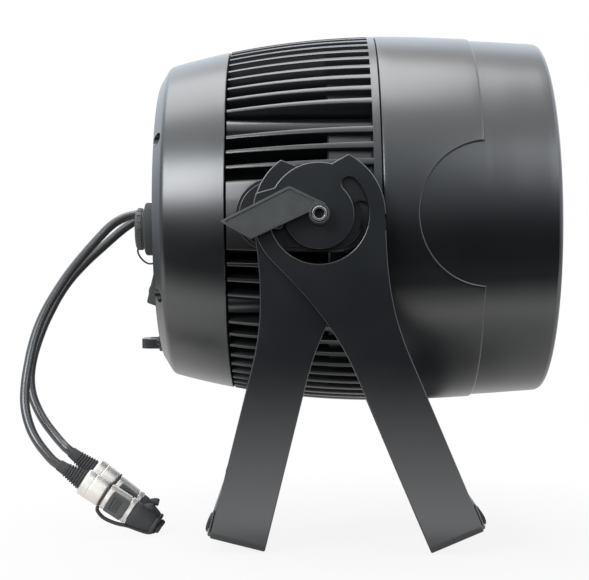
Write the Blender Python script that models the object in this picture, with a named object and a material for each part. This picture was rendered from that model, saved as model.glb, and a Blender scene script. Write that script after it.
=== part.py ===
# Weatherproof LED par can on a double yoke, standing on the floor.
# Units are metres, +Z is up, +X is the light exit, and the origin is on the floor under the middle.
# Lamp and yoke pieces are drawn round the tilt axis and parented to it.

import math

import bmesh
import bpy
from mathutils import Matrix, Vector
from mathutils.geometry import tessellate_polygon

mm = 0.001

# Stand and frame
PIVOT_X = -16.0 * mm              # tilt axis, behind the middle of the lamp's length
PIVOT_HEIGHT = 214.2 * mm
HEAD_TILT = 0.55                  # degrees, light exit up
PLATE = 3.0 * mm                  # yoke plate
ARM_HALF_WIDTH = 17.3 * mm
FRONT_LEG_ANGLE = 22.9            # degrees from straight down
REAR_LEG_ANGLE = 13.9
INNER_ARM_Y = 133.1 * mm          # inside face of the rear yoke's arms
OUTER_ARM_Y = 138.2 * mm          # inside face of the front yoke's arms
BEND_RADIUS = 5.0 * mm            # outside of the bends
LIP_INNER = 17.7 * mm             # lip along the outer edge of each cross bar
LIP_THICKNESS = 1.8 * mm
LIP_HEIGHT = 17.0 * mm
CLAMP_HOLE_RADIUS = 6.5 * mm

# Yoke head
HEAD_RADIUS = 42.0 * mm
CROWN_RADIUS = 32.7 * mm          # between the two horns
HORN_ANGLE = 41.5                 # degrees above the leg's cross direction
CROWN_START = 53.0
SLOT_RADIUS = 26.8 * mm
SLOT_HALF_WIDTH = 4.5 * mm
SLOT_END_ANGLE = 22.5             # pin centre at the slot's end
BOLT_HOLE_RADIUS = 5.5 * mm

# Lamp barrel, measured along the lamp from the tilt axis
BARREL_RADIUS = 130.8 * mm
BARREL_CREST = 43.9 * mm
BARREL_CURVE = 1078.0 * mm        # twice the radius of the long barrel curve
SINK_REAR = -60.7 * mm
BLOCK_START = 5.7 * mm
FLANGE_REAR = 35.5 * mm
FLANGE_FRONT = 40.7 * mm
HOUSING_REAR = 41.0 * mm
SLEEVE_FRONT = 107.5 * mm
RIM = 157.0 * mm
COVER_FRONT = -62.1 * mm
COVER_CORNER = -101.6 * mm
COVER_REAR = -109.8 * mm
COVER_CORNER_RADIUS = 109.4 * mm
COVER_FACE_RADIUS = 97.5 * mm
WALL = 3.0 * mm

# Heat sink
FIN_COUNT = 72
CHANNEL_EVERY = 12                # a screw channel takes the place of every twelfth fin
CHANNEL_FIRST = 6
PAD_FINS = 2                      # the pads at the tilt axis are this many fin pitches each way
CORE_RADIUS = 100.0 * mm
BLOCK_RADIUS = 125.5 * mm
FIN_THICKNESS_REAR = 2.3 * mm
FIN_THICKNESS_FRONT = 4.4 * mm
CHANNEL_BOSS_RADIUS = 6.5 * mm
CHANNEL_BOSS_AT = 107.5 * mm
POCKET_RADIUS = 94.0 * mm
HOLLOW_RADIUS = 117.0 * mm         # behind the raised floor, between the screw channels
POCKET_FLOOR = 50.0 * mm
PIVOT_BOSS_FACE = 131.0 * mm
PIVOT_BOSS_RADIUS = 23.5 * mm
PIVOT_BOSS_REAR = -29.7 * mm
STOP_PIN_ANGLE = 192.0            # from the light exit, seen from the right side
STOP_PIN_RADIUS = 4.0 * mm

# Side notch of the raised sleeve on the front housing
NOTCH_CENTRE = 111.5 * mm
NOTCH_RADIUS = 47.0 * mm

# Optics
LENS_RADIUS = 18.0 * mm
LENS_RINGS = ((6, 40.0 * mm, 0.0), (12, 80.0 * mm, 15.0))   # count, ring radius, first angle
GLASS_RADIUS = 115.5 * mm

# Rear fittings
SOCKET_Y = 62.0 * mm
SOCKET_Z = -7.0 * mm
GLAND_Y = 11.0 * mm
GLAND_Z = 5.0 * mm
PANEL_TOP = -6.5 * mm
PANEL_BOTTOM = -58.1 * mm
PANEL_PROUD = 13.3 * mm
PANEL_HALF_WIDTH = 38.0 * mm
BUTTON_RADIUS = 4.0 * mm
BUTTON_YS = (-27.0 * mm, -9.0 * mm, 9.0 * mm, 27.0 * mm)
EYE_Z = -88.3 * mm
EYE_THICKNESS = 7.0 * mm
EYE_TIP = -127.0 * mm

# Data leads, from gland to connector
LEAD_RADIUS = 3.25 * mm
CONNECTOR_SLOPES = {"near": 32.8, "far": 38.5}     # degrees down towards the front
NEAR_LEAD = (                     # millimetres from the tilt axis
    (-124.6, -11.0, 3.8), (-130.1, -11.8, 3.0), (-145.3, -16.0, -4.3), (-160.9, -22.0, -19.4),
    (-178.0, -30.0, -42.0), (-192.4, -40.0, -70.5), (-199.8, -49.0, -96.4), (-201.2, -56.0, -116.5),
    (-197.3, -63.0, -135.5), (-185.4, -71.5, -155.6), (-171.9, -77.0, -167.5))
FAR_LEAD = (
    (-124.6, 11.0, 3.8), (-132.8, 10.8, 0.0), (-148.5, 8.0, -12.6), (-167.4, 2.0, -31.6),
    (-187.5, -8.0, -61.1), (-198.1, -17.0, -85.1), (-201.8, -24.0, -103.2), (-199.2, -33.0, -123.6),
    (-190.3, -44.0, -143.5), (-180.8, -51.5, -151.4), (-167.0, -57.0, -161.8))
GAP = 0.3 * mm


# Building blocks

def material(name, hex_colour, roughness, metallic=0.0):
    def linear(channel):
        return channel / 12.92 if channel <= 0.04045 else ((channel + 0.055) / 1.055) ** 2.4
    rgb = [linear(int(hex_colour[i:i + 2], 16) / 255) for i in (0, 2, 4)]
    made = bpy.data.materials.new(name)
    made.use_nodes = True
    shader = made.node_tree.nodes["Principled BSDF"]
    shader.inputs["Base Color"].default_value = (*rgb, 1.0)
    shader.inputs["Roughness"].default_value = roughness
    shader.inputs["Metallic"].default_value = metallic
    return made


def add_object(name, mesh, finish, parent, sharp_degrees=35):
    made = bpy.data.objects.new(name, mesh)
    bpy.context.scene.collection.objects.link(made)
    mesh.materials.append(finish)
    if sharp_degrees:
        mesh.shade_smooth()
        mesh.set_sharp_from_angle(angle=math.radians(sharp_degrees))
    made.parent = parent
    return made


def finish_mesh(name, bm):
    bmesh.ops.remove_doubles(bm, verts=bm.verts, dist=1e-6)
    bmesh.ops.recalc_face_normals(bm, faces=bm.faces)
    mesh = bpy.data.meshes.new(name)
    bm.to_mesh(mesh)
    bm.free()
    return mesh


def turned(name, profile, sides=64, transform=None):
    # A closed profile of (along, radius) turned about the X axis.
    bm = bmesh.new()
    rings = []
    for along, radius in profile:
        if radius < 1e-7:
            rings.append([bm.verts.new((along, 0, 0))])
            continue
        angles = [2 * math.pi * i / sides for i in range(sides)]
        rings.append([bm.verts.new((along, radius * math.cos(a), radius * math.sin(a))) for a in angles])
    for first, second in zip(rings, rings[1:] + rings[:1]):
        if len(first) == 1 and len(second) == 1:
            continue
        for i in range(sides):
            j = (i + 1) % sides
            corners = [first[i % len(first)], first[j % len(first)],
                       second[j % len(second)], second[i % len(second)]]
            bm.faces.new(list(dict.fromkeys(corners)))
    if transform is not None:
        bmesh.ops.transform(bm, matrix=transform, verts=bm.verts)
    return finish_mesh(name, bm)


def turned_about_y(name, profile, centre=(0.0, 0.0), sides=32):
    # The same, about an axis along Y through centre (x, z); the profile's first value is y.
    to_y = Matrix.Translation((centre[0], 0, centre[1])) @ Matrix.Rotation(math.pi / 2, 4, "Z")
    return turned(name, profile, sides, to_y)


def prism(name, outline, low, high, holes=(), plane="XZ", transform=None):
    # Outline and holes are lists of 2-D points; the solid runs from low to high along the third axis.
    loops = [list(outline)] + [list(hole) for hole in holes]
    bm = bmesh.new()
    layers = []
    for level in (low, high):
        layer = []
        for loop in loops:
            for a, b in loop:
                place = {"XZ": (a, level, b), "XY": (a, b, level), "YZ": (level, a, b)}[plane]
                layer.append(bm.verts.new(place))
        layers.append(layer)
    flat = [[Vector((a, b, 0)) for a, b in loop] for loop in loops]
    for triangle in tessellate_polygon(flat):
        for layer in layers:
            bm.faces.new([layer[i] for i in triangle])
    start = 0
    for loop in loops:
        count = len(loop)
        for i in range(count):
            a, b = start + i, start + (i + 1) % count
            bm.faces.new((layers[0][a], layers[0][b], layers[1][b], layers[1][a]))
        start += count
    if transform is not None:
        bmesh.ops.transform(bm, matrix=transform, verts=bm.verts)
    return finish_mesh(name, bm)


def box(name, low, high, transform=None):
    outline = [(low[0], low[2]), (high[0], low[2]), (high[0], high[2]), (low[0], high[2])]
    return prism(name, outline, low[1], high[1], transform=transform)


def helper(mesh, parent=None):
    # A cutter or a shape that is joined into another object.
    made = bpy.data.objects.new(mesh.name, mesh)
    bpy.context.scene.collection.objects.link(made)
    made.hide_render = True
    made.display_type = "WIRE"
    made.parent = parent
    return made


def add_mesh(bm, mesh):
    bm.from_mesh(mesh)
    bpy.data.meshes.remove(mesh)


def combine(target, operation, mesh, parent=None):
    tool = helper(mesh, parent)
    modifier = target.modifiers.new(mesh.name, "BOOLEAN")
    modifier.operation = operation
    modifier.object = tool
    modifier.solver = "EXACT"
    return tool


def soften(target, width, segments=2, degrees=40):
    bevel = target.modifiers.new("edges", "BEVEL")
    bevel.width = width
    bevel.segments = segments
    bevel.limit_method = "ANGLE"
    bevel.angle_limit = math.radians(degrees)
    return bevel


def arc(radius, first, last, steps, centre=(0.0, 0.0)):
    points = []
    for i in range(steps + 1):
        angle = math.radians(first + (last - first) * i / steps)
        points.append((centre[0] + radius * math.cos(angle), centre[1] + radius * math.sin(angle)))
    return points


def bezier(a, b, c, d, steps):
    points = []
    for i in range(steps + 1):
        t = i / steps
        weights = ((1 - t) ** 3, 3 * t * (1 - t) ** 2, 3 * t * t * (1 - t), t ** 3)
        points.append(tuple(sum(w * p[k] for w, p in zip(weights, (a, b, c, d))) for k in (0, 1)))
    return points


def rounded_box(half_a, half_b, radius, centre=(0.0, 0.0), steps=4):
    points = []
    for sign_a, sign_b, first in ((1, 1, 0), (-1, 1, 90), (-1, -1, 180), (1, -1, 270)):
        corner = (centre[0] + sign_a * (half_a - radius), centre[1] + sign_b * (half_b - radius))
        points += arc(radius, first, first + 90, steps, corner)
    return points


def smooth_route(points, spacing):
    # A smooth curve through the route's points, cut at even steps.
    path = [Vector(p) * mm for p in points]
    ends = [2 * path[0] - path[1]] + path + [2 * path[-1] - path[-2]]
    fine = []
    for p0, p1, p2, p3 in zip(ends, ends[1:], ends[2:], ends[3:]):
        for i in range(20):
            t = i / 20
            fine.append(0.5 * (2 * p1 + (p2 - p0) * t + (2 * p0 - 5 * p1 + 4 * p2 - p3) * t * t
                               + (3 * p1 - p0 - 3 * p2 + p3) * t ** 3))
    fine.append(path[-1])
    lengths = [0.0]
    for a, b in zip(fine, fine[1:]):
        lengths.append(lengths[-1] + (b - a).length)
    count = max(2, round(lengths[-1] / spacing))
    even = []
    index = 0
    for i in range(count + 1):
        want = lengths[-1] * i / count
        while index < len(fine) - 2 and lengths[index + 1] < want:
            index += 1
        share = (want - lengths[index]) / (lengths[index + 1] - lengths[index])
        even.append(fine[index].lerp(fine[index + 1], min(1.0, share)))
    return even, lengths[-1]


def tube(name, points, radius, finish, parent, sides=8):
    # A round bar along the points, with frames carried from one point to the next.
    bm = bmesh.new()
    rings = []
    across = None
    for i, place in enumerate(points):
        ahead = (points[min(i + 1, len(points) - 1)] - points[max(i - 1, 0)]).normalized()
        if across is None:
            across = ahead.orthogonal()
        across = (across - ahead * across.dot(ahead)).normalized()
        other = ahead.cross(across)
        angles = [2 * math.pi * k / sides for k in range(sides)]
        rings.append([bm.verts.new(place + (across * math.cos(a) + other * math.sin(a)) * radius) for a in angles])
    for first, second in zip(rings, rings[1:]):
        for k in range(sides):
            m = (k + 1) % sides
            bm.faces.new((first[k], first[m], second[m], second[k]))
    bm.faces.new(rings[0])
    bm.faces.new(rings[-1])
    return add_object(name, finish_mesh(name, bm), finish, parent)


def barrel_radius(along):
    return BARREL_RADIUS - max(0.0, BARREL_CREST - along) ** 2 / BARREL_CURVE


# Heat sink: a finned casting, lofted from star-shaped sections

def fin_kind(index):
    index %= FIN_COUNT
    if index % CHANNEL_EVERY == CHANNEL_FIRST:
        return "channel"
    from_pad = min(index % (FIN_COUNT // 2), FIN_COUNT // 2 - index % (FIN_COUNT // 2))
    return "pad" if from_pad <= PAD_FINS else "fin"


def star_section(along, core):
    # Returns the section's points and, for each, whether it lies at the foot of a fin.
    share = (along - SINK_REAR) / (FLANGE_REAR - SINK_REAR)
    half = (FIN_THICKNESS_REAR + (FIN_THICKNESS_FRONT - FIN_THICKNESS_REAR) * share) / 2
    outer = barrel_radius(along)
    points = []

    def put(radius, tangent, angle, foot):
        across = Vector((radius, tangent))
        turn = Matrix.Rotation(angle, 2)
        place = turn @ across
        points.append(((along, place.x, place.y), foot))

    for index in range(FIN_COUNT):
        angle = 2 * math.pi * index / FIN_COUNT
        kind = fin_kind(index)
        if kind == "channel":
            boss = CHANNEL_BOSS_RADIUS
            put(CORE_RADIUS, -boss, angle, False)
            for a, b in arc(boss, -90, 90, 3):
                put(CHANNEL_BOSS_AT + a, b, angle, False)
            put(CORE_RADIUS, boss, angle, False)
            continue
        before, after = fin_kind(index - 1), fin_kind(index + 1)
        if kind == "pad" and before == "pad":
            put(outer, -half, angle, False)
        else:
            put(CORE_RADIUS if before == "channel" else core, -half, angle, before != "channel")
            put(outer, -half, angle, False)
        put(outer, half, angle, False)
        if not (kind == "pad" and after == "pad"):
            put(CORE_RADIUS if after == "channel" else core, half, angle, after != "channel")
    return points


def star_loft(name):
    deep = [SINK_REAR + (BLOCK_START - SINK_REAR) * i / 2 for i in range(3)]
    sections = [star_section(along, CORE_RADIUS) for along in deep]
    shallow = [star_section(along, BLOCK_RADIUS) for along in (BLOCK_START, FLANGE_REAR)]
    bm = bmesh.new()
    loops = [[bm.verts.new(place) for place, _ in section] for section in sections]
    step = list(loops[-1])
    for i, (place, foot) in enumerate(shallow[0]):
        if foot:
            step[i] = bm.verts.new(place)
    last = [bm.verts.new(place) for place, _ in shallow[1]]
    feet = [foot for _, foot in sections[0]]
    count = len(feet)

    def skin(first, second, flank_points=None):
        for i in range(count):
            j = (i + 1) % count
            corners = [first[i], first[j], second[j], second[i]]
            if flank_points and feet[i] != feet[j]:
                extra = flank_points[i] if feet[i] else flank_points[j]
                corners.insert(3, extra)
            bm.faces.new(corners)

    skin(loops[0], loops[1])
    skin(loops[1], loops[2], step)
    for i in range(count):
        j = (i + 1) % count
        if feet[i] and feet[j] and step[i] is not loops[2][i]:
            bm.faces.new((loops[2][i], loops[2][j], step[j], step[i]))
    skin(step, last)
    rim, face = [], []
    for vert in last:
        out = math.hypot(vert.co.y, vert.co.z)
        scale = barrel_radius(FLANGE_REAR) / out
        grown = (vert.co.y * scale, vert.co.z * scale)
        rim.append(vert if scale < 1.0005 else bm.verts.new((FLANGE_REAR, *grown)))
        face.append(bm.verts.new((FLANGE_FRONT, *grown)))
    for i in range(count):
        j = (i + 1) % count
        corners = list(dict.fromkeys((last[i], last[j], rim[j], rim[i])))
        if len(corners) > 2:
            bm.faces.new(corners)
        bm.faces.new((rim[i], rim[j], face[j], face[i]))
    spigot = [(FLANGE_FRONT, 125.2 * mm), (46.0 * mm, 125.2 * mm), (46.0 * mm, CORE_RADIUS), (60.0 * mm, CORE_RADIUS)]
    pocket = [(SINK_REAR, POCKET_RADIUS), (9.0 * mm, POCKET_RADIUS), (17.0 * mm, HOLLOW_RADIUS),
              (36.0 * mm, HOLLOW_RADIUS), (43.0 * mm, POCKET_RADIUS), (POCKET_FLOOR, POCKET_RADIUS)]
    sides = 48
    for edge, profile in ((face, spigot), (loops[0], pocket)):
        rings = []
        for along, radius in profile:
            ring = []
            for i in range(sides):
                angle = 360 * i / sides
                from_channel = abs((angle % 60) - 30)
                hollow = from_channel > 10 and min(angle % 180, 180 - angle % 180) > 30
                r = POCKET_RADIUS if radius == HOLLOW_RADIUS and not hollow else radius
                ring.append(bm.verts.new((along, r * math.cos(math.radians(angle)), r * math.sin(math.radians(angle)))))
            rings.append(ring)
        pool = edge + rings[0]
        flat = [[Vector((v.co.y, v.co.z, 0)) for v in loop] for loop in (edge, rings[0])]
        for triangle in tessellate_polygon(flat):
            bm.faces.new([pool[i] for i in triangle])
        for first, second in zip(rings, rings[1:]):
            for i in range(sides):
                j = (i + 1) % sides
                bm.faces.new((first[i], first[j], second[j], second[i]))
        bm.faces.new(rings[-1])
    bmesh.ops.triangulate(bm, faces=bm.faces)
    return finish_mesh(name, bm)


def stop_pin_place():
    angle = math.radians(STOP_PIN_ANGLE)
    return SLOT_RADIUS * math.cos(angle), SLOT_RADIUS * math.sin(angle)


def pivot_boss_outline(inset=0.0):
    radius = PIVOT_BOSS_RADIUS - inset
    front = (6.0 * mm, 0.0)
    rear = (PIVOT_BOSS_REAR, 0.0)
    return arc(radius, -90, 90, 10, front) + arc(radius, 90, 270, 10, rear)


def make_heat_sink(parent, finish):
    sink = add_object("heat_sink", star_loft("heat_sink"), finish, parent, 25)
    bosses, holes = bmesh.new(), bmesh.new()
    for side in (-1, 1):
        add_mesh(bosses, prism("boss", pivot_boss_outline(), side * 112 * mm, side * PIVOT_BOSS_FACE))
        for depth, radius, centre in ((118.7, 5.3, (0.0, 0.0)), (124.7, 4.3, stop_pin_place())):
            profile = [(side * depth * mm, 0), (side * depth * mm, radius * mm),
                       (side * 135 * mm, radius * mm), (side * 135 * mm, 0)]
            add_mesh(holes, turned_about_y("hole", profile, centre, 12))
    combine(sink, "UNION", finish_mesh("pivot_bosses", bosses), parent)
    combine(sink, "DIFFERENCE", finish_mesh("bolt_and_pin_holes", holes), parent)
    return sink


# Front housing and optics

def sleeve_radius(along):
    # The drum tapers a little towards the front and is slightly crowned.
    share = (along - HOUSING_REAR) / (SLEEVE_FRONT - HOUSING_REAR)
    return 131.0 * mm - 2.4 * mm * share ** 1.6


def front_radius(along):
    share = (along - SLEEVE_FRONT) / (RIM - SLEEVE_FRONT)
    return 127.4 * mm - 3.0 * mm * share


def make_front_housing(parent, finish):
    steps = [HOUSING_REAR + (SLEEVE_FRONT - HOUSING_REAR) * i / 3 for i in range(4)]
    level = 1.2 * mm
    outside = [(HOUSING_REAR, 129.0 * mm)]
    outside += [(along, sleeve_radius(along) - level) for along in steps[1::2]]
    outside += [(SLEEVE_FRONT + 0.5 * mm, front_radius(SLEEVE_FRONT))]
    outside += [(RIM - 2.6 * mm, front_radius(RIM))]
    outside += [(RIM - 0.8 * mm, front_radius(RIM) - 0.9 * mm), (RIM, front_radius(RIM) - 2.8 * mm)]
    inside = [(RIM, 120.6 * mm), (RIM - 1.2 * mm, 119.6 * mm), (112.3 * mm, 118.2 * mm),
              (112.3 * mm, 106.0 * mm), (106.5 * mm, 106.0 * mm), (106.5 * mm, 123.0 * mm),
              (HOUSING_REAR, 125.6 * mm)]
    shell = add_object("front_housing", turned("front_housing", outside + inside, 56), finish, parent, 30)
    raised = [(HOUSING_REAR, 127.5 * mm), (HOUSING_REAR, 130.3 * mm)]
    raised += [(HOUSING_REAR + 0.6 * mm, 131.0 * mm)]
    raised += [(along, sleeve_radius(along)) for along in steps[1:-1]]
    raised += [(SLEEVE_FRONT - 0.3 * mm, sleeve_radius(SLEEVE_FRONT)),
               (SLEEVE_FRONT, sleeve_radius(SLEEVE_FRONT) - 0.3 * mm), (SLEEVE_FRONT, 126.0 * mm)]
    sleeve = helper(turned("raised_sleeve", raised, 56), parent)
    notch = turned_about_y("side_notch", [(-160 * mm, 0), (-160 * mm, NOTCH_RADIUS),
                                          (160 * mm, NOTCH_RADIUS), (160 * mm, 0)], (NOTCH_CENTRE, 0), 32)
    combine(sleeve, "DIFFERENCE", notch, parent)
    modifier = shell.modifiers.new("raised_sleeve", "BOOLEAN")
    modifier.operation = "UNION"
    modifier.object = sleeve
    modifier.solver = "EXACT"
    return shell


def lens_centres():
    for count, ring, first in LENS_RINGS:
        for i in range(count):
            angle = math.radians(first + 360 * i / count)
            yield ring * math.cos(angle), ring * math.sin(angle)


def make_optics(parent, finishes):
    board = [(60.3 * mm, 0), (60.3 * mm, 98 * mm), (61.9 * mm, 98 * mm), (61.9 * mm, 0)]
    add_object("led_board", turned("led_board", board, 32), finishes["circuit"], parent)
    plate = [(86 * mm, 0), (86 * mm, 100 * mm), (89 * mm, 100 * mm), (89 * mm, 0)]
    array = add_object("lens_array", turned("lens_array", plate, 32), finishes["lens"], parent)
    cones = bmesh.new()
    for y, z in lens_centres():
        cone = [(62.3 * mm, 0), (62.3 * mm, 7 * mm), (86.8 * mm, LENS_RADIUS), (86.8 * mm, 0)]
        piece = turned("cone", cone, 10, Matrix.Translation((0, y, z)))
        add_mesh(cones, piece)
    combine(array, "UNION", finish_mesh("lens_cones", cones), parent)
    holes = [arc(LENS_RADIUS - 1 * mm, 0, 330, 11, centre) for centre in lens_centres()]
    mask = prism("lens_mask", arc(104 * mm, 0, 351, 39), 89.4 * mm, 91.4 * mm, holes, "YZ")
    add_object("lens_mask", mask, finishes["black plastic"], parent)
    rings = {
        "glass_gasket": (112.6, 113.7, 107.0, 117.5, "rubber"),
        "glass_retaining_ring": (118.3, 121.3, 106.5, 117.8, "black paint"),
    }
    for name, (rear, front, inner, outer, finish) in rings.items():
        profile = [(rear * mm, inner * mm), (rear * mm, outer * mm), (front * mm, outer * mm),
                   (front * mm, inner * mm)]
        add_object(name, turned(name, profile, 36), finishes[finish], parent)
    glass = [(114.0 * mm, 0), (114.0 * mm, GLASS_RADIUS), (118.0 * mm, GLASS_RADIUS), (118.0 * mm, 0)]
    add_object("front_glass", turned("front_glass", glass, 40), finishes["glass"], parent)


# Rear cover and what is inside it

def cover_radius(along):
    share = (COVER_FRONT - along) / (COVER_FRONT - COVER_CORNER)
    return barrel_radius(along) - 1.6 * mm * share ** 2


def rear_cutters():
    # Holes through the rear wall: two sockets, two glands and the screw wells on the bevel.
    cutters = bmesh.new()
    wells = [(SOCKET_Y * side, SOCKET_Z, 11.9, -112, -104) for side in (-1, 1)]
    wells += [(GLAND_Y * side, GLAND_Z, 6.3, -112, -104) for side in (-1, 1)]
    for i in range(6):
        angle = math.radians(30 + 60 * i)
        wells.append((103.5 * mm * math.cos(angle), 103.5 * mm * math.sin(angle), 4.6, -115, -100.5))
    for y, z, radius, rear, front in wells:
        profile = [(rear * mm, 0), (rear * mm, radius * mm), (front * mm, radius * mm), (front * mm, 0)]
        piece = turned("well", profile, 12 if radius < 5 else 20, Matrix.Translation((0, y, z)))
        add_mesh(cutters, piece)
    return finish_mesh("rear_wells", cutters)


def make_rear_cover(parent, finish):
    steps = [COVER_FRONT + (COVER_CORNER - COVER_FRONT) * i / 3 for i in range(4)]
    outside = [(along, cover_radius(along)) for along in steps]
    outside[-1] = (COVER_CORNER, COVER_CORNER_RADIUS)
    outside += [(COVER_REAR, COVER_FACE_RADIUS), (COVER_REAR, 0)]
    screw_land = 94.0 * mm
    inside = [(COVER_REAR + WALL, 0), (COVER_REAR + WALL, screw_land), (-97 * mm, screw_land),
              (-90 * mm, 108.5 * mm), (steps[1], cover_radius(steps[1]) - WALL),
              (COVER_FRONT, cover_radius(COVER_FRONT) - WALL)]
    cover = add_object("rear_cover", turned("rear_cover", outside + inside, 48), finish, parent, 25)
    combine(cover, "DIFFERENCE", rear_cutters(), parent)
    window = box("panel_window", (-115 * mm, -30 * mm, -54 * mm), (-104 * mm, 30 * mm, -14 * mm))
    combine(cover, "DIFFERENCE", window, parent)
    return cover


def make_inner_works(parent, finishes):
    gasket = [(-61.8 * mm, 112 * mm), (-61.8 * mm, 118.0 * mm), (-61.0 * mm, 118.0 * mm),
              (-61.0 * mm, 112 * mm)]
    add_object("cover_gasket", turned("cover_gasket", gasket, 36), finishes["rubber"], parent)
    supply = box("power_supply", (-38 * mm, -70 * mm, -42 * mm), (POCKET_FLOOR - GAP, 70 * mm, 42 * mm))
    made = add_object("power_supply", supply, finishes["zinc steel"], parent)
    soften(made, 1.5 * mm, 1)
    board = box("control_board", (-98.3 * mm, -34 * mm, -58 * mm), (-96.7 * mm, 34 * mm, -10 * mm))
    made = add_object("control_board", board, finishes["circuit"], parent, 0)
    posts = bmesh.new()
    for y in (-32, 32):
        for z in (-56, -12):
            post = box("post", (-106.5 * mm, (y - 1.5) * mm, (z - 1.5) * mm),
                       (-97.5 * mm, (y + 1.5) * mm, (z + 1.5) * mm))
            add_mesh(posts, post)
    combine(made, "UNION", finish_mesh("board_posts", posts), parent)


def make_control_panel(parent, finishes):
    back = COVER_REAR - GAP
    tip = COVER_REAR - PANEL_PROUD
    outline = [(back, PANEL_TOP), (tip, PANEL_BOTTOM), (back, PANEL_BOTTOM - 3.9 * mm)]
    panel = add_object("control_panel", prism("control_panel", outline, -PANEL_HALF_WIDTH, PANEL_HALF_WIDTH),
                       finishes["black plastic"], parent)
    tilt = math.atan2(PANEL_PROUD - GAP, PANEL_TOP - PANEL_BOTTOM)
    face = bpy.data.objects.new("panel_face", None)     # on the slope; +X goes in, +Z goes up it
    bpy.context.scene.collection.objects.link(face)
    face.parent = parent
    face.location = ((back + tip) / 2, 0, (PANEL_TOP + PANEL_BOTTOM) / 2)
    face.rotation_euler = (0, tilt, 0)
    screen = box("screen_recess", (-3 * mm, -22.3 * mm, -0.3 * mm), (1.7 * mm, 22.3 * mm, 18.3 * mm))
    combine(panel, "DIFFERENCE", screen, face)
    wells = bmesh.new()
    for y in BUTTON_YS:
        profile = [(-4 * mm, 0), (-4 * mm, 4.4 * mm), (5.2 * mm, 4.4 * mm), (5.2 * mm, 0)]
        well = turned("well", profile, 14, Matrix.Translation((0, y, -12 * mm)))
        add_mesh(wells, well)
    combine(panel, "DIFFERENCE", finish_mesh("button_wells", wells), face)
    window = box("display_window", (0.2 * mm, -22 * mm, 0), (1.4 * mm, 22 * mm, 18 * mm))
    add_object("display_window", window, finishes["dark glass"], face)
    for number, y in enumerate(BUTTON_YS, 1):
        profile = [(-1.6 * mm, 0), (-1.6 * mm, 3.3 * mm), (-1.0 * mm, BUTTON_RADIUS),
                   (3.4 * mm, BUTTON_RADIUS), (3.4 * mm, 0)]
        name = "menu_button_%d" % number
        button = turned(name, profile, 14, Matrix.Translation((0, y, -12 * mm)))
        add_object(name, button, finishes["rubber"], face)


def make_rear_fittings(parent, finishes):
    for side, label in ((-1, "in"), (1, "out")):
        at = Matrix.Translation((0, side * SOCKET_Y, SOCKET_Z))
        socket = [(-117.8 * mm, 9.6 * mm), (-117.8 * mm, 17.3 * mm), (-117.0 * mm, 18.1 * mm),
                  (-110.1 * mm, 18.1 * mm), (-110.1 * mm, 11.6 * mm), (-96 * mm, 11.6 * mm),
                  (-96 * mm, 0), (-109 * mm, 0), (-109 * mm, 9.6 * mm)]
        name = "power_%s_socket" % label
        add_object(name, turned(name, socket, 20, at), finishes["black plastic"], parent)
        cap = [(-123.9 * mm, 0), (-123.9 * mm, 12.6 * mm), (-122.5 * mm, 14.0 * mm), (-118.1 * mm, 14.0 * mm),
               (-118.1 * mm, 9.2 * mm), (-110.0 * mm, 8.8 * mm), (-110.0 * mm, 0)]
        name = "power_%s_cap" % label
        add_object(name, turned(name, cap, 20, at), finishes["rubber"], parent)
        y = side * SOCKET_Y / mm
        loop = [(-121.0, y, -21.9), (-122.2, y, -25.2), (-120.8, y, -29.0), (-117.0, y, -30.6),
                (-113.8, y, -28.6), (-112.9, y, -26.2)]
        route, _ = smooth_route(loop, 2.2 * mm)
        tube("power_%s_strap" % label, route, 0.75 * mm, finishes["rubber"], parent, 6)
    for side, label in ((-1, "near"), (1, "far")):
        at = Matrix.Translation((0, side * GLAND_Y, GLAND_Z))
        body = [(-116.0 * mm, 3.6 * mm), (-116.0 * mm, 6.0 * mm), (-114.0 * mm, 6.0 * mm),
                (-114.0 * mm, 9.0 * mm), (-110.1 * mm, 9.0 * mm), (-110.1 * mm, 6.0 * mm),
                (-99 * mm, 6.0 * mm), (-99 * mm, 3.6 * mm)]
        name = "gland_body_" + label
        add_object(name, turned(name, body, 12, at), finishes["nickel brass"], parent)
        nut = [(-124.3 * mm, 3.6 * mm), (-124.3 * mm, 5.4 * mm), (-121.5 * mm, 8.2 * mm),
               (-114.3 * mm, 8.2 * mm), (-114.3 * mm, 6.4 * mm), (-116.4 * mm, 6.4 * mm),
               (-116.4 * mm, 3.6 * mm)]
        name = "gland_nut_" + label
        add_object(name, turned(name, nut, 12, at), finishes["nickel brass"], parent)
    half = EYE_THICKNESS / 2
    outline = [(-112 * mm, -15 * mm)] + arc(9 * mm, 270, 180, 5, (EYE_TIP + 9 * mm, -6 * mm))
    outline += arc(9 * mm, 180, 90, 5, (EYE_TIP + 9 * mm, 6 * mm)) + [(-112 * mm, 15 * mm)]
    hole = arc(4 * mm, 0, 180, 6, (-117.6 * mm, 4.5 * mm)) + arc(4 * mm, 180, 360, 6, (-117.6 * mm, -4.5 * mm))
    loop = prism("safety_eye", outline, EYE_Z - half, EYE_Z + half, [hole], "XY")
    eye = add_object("safety_eye", loop, finishes["zinc steel"], parent)
    foot = prism("eye_foot", rounded_box(24 * mm, 7.5 * mm, 4 * mm, (0, EYE_Z + 2.5 * mm)),
                 -113.1 * mm, -110.1 * mm, plane="YZ")
    combine(eye, "UNION", foot, parent)


# Yokes: one pattern, bent from plate, with arc slots in the heads

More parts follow.
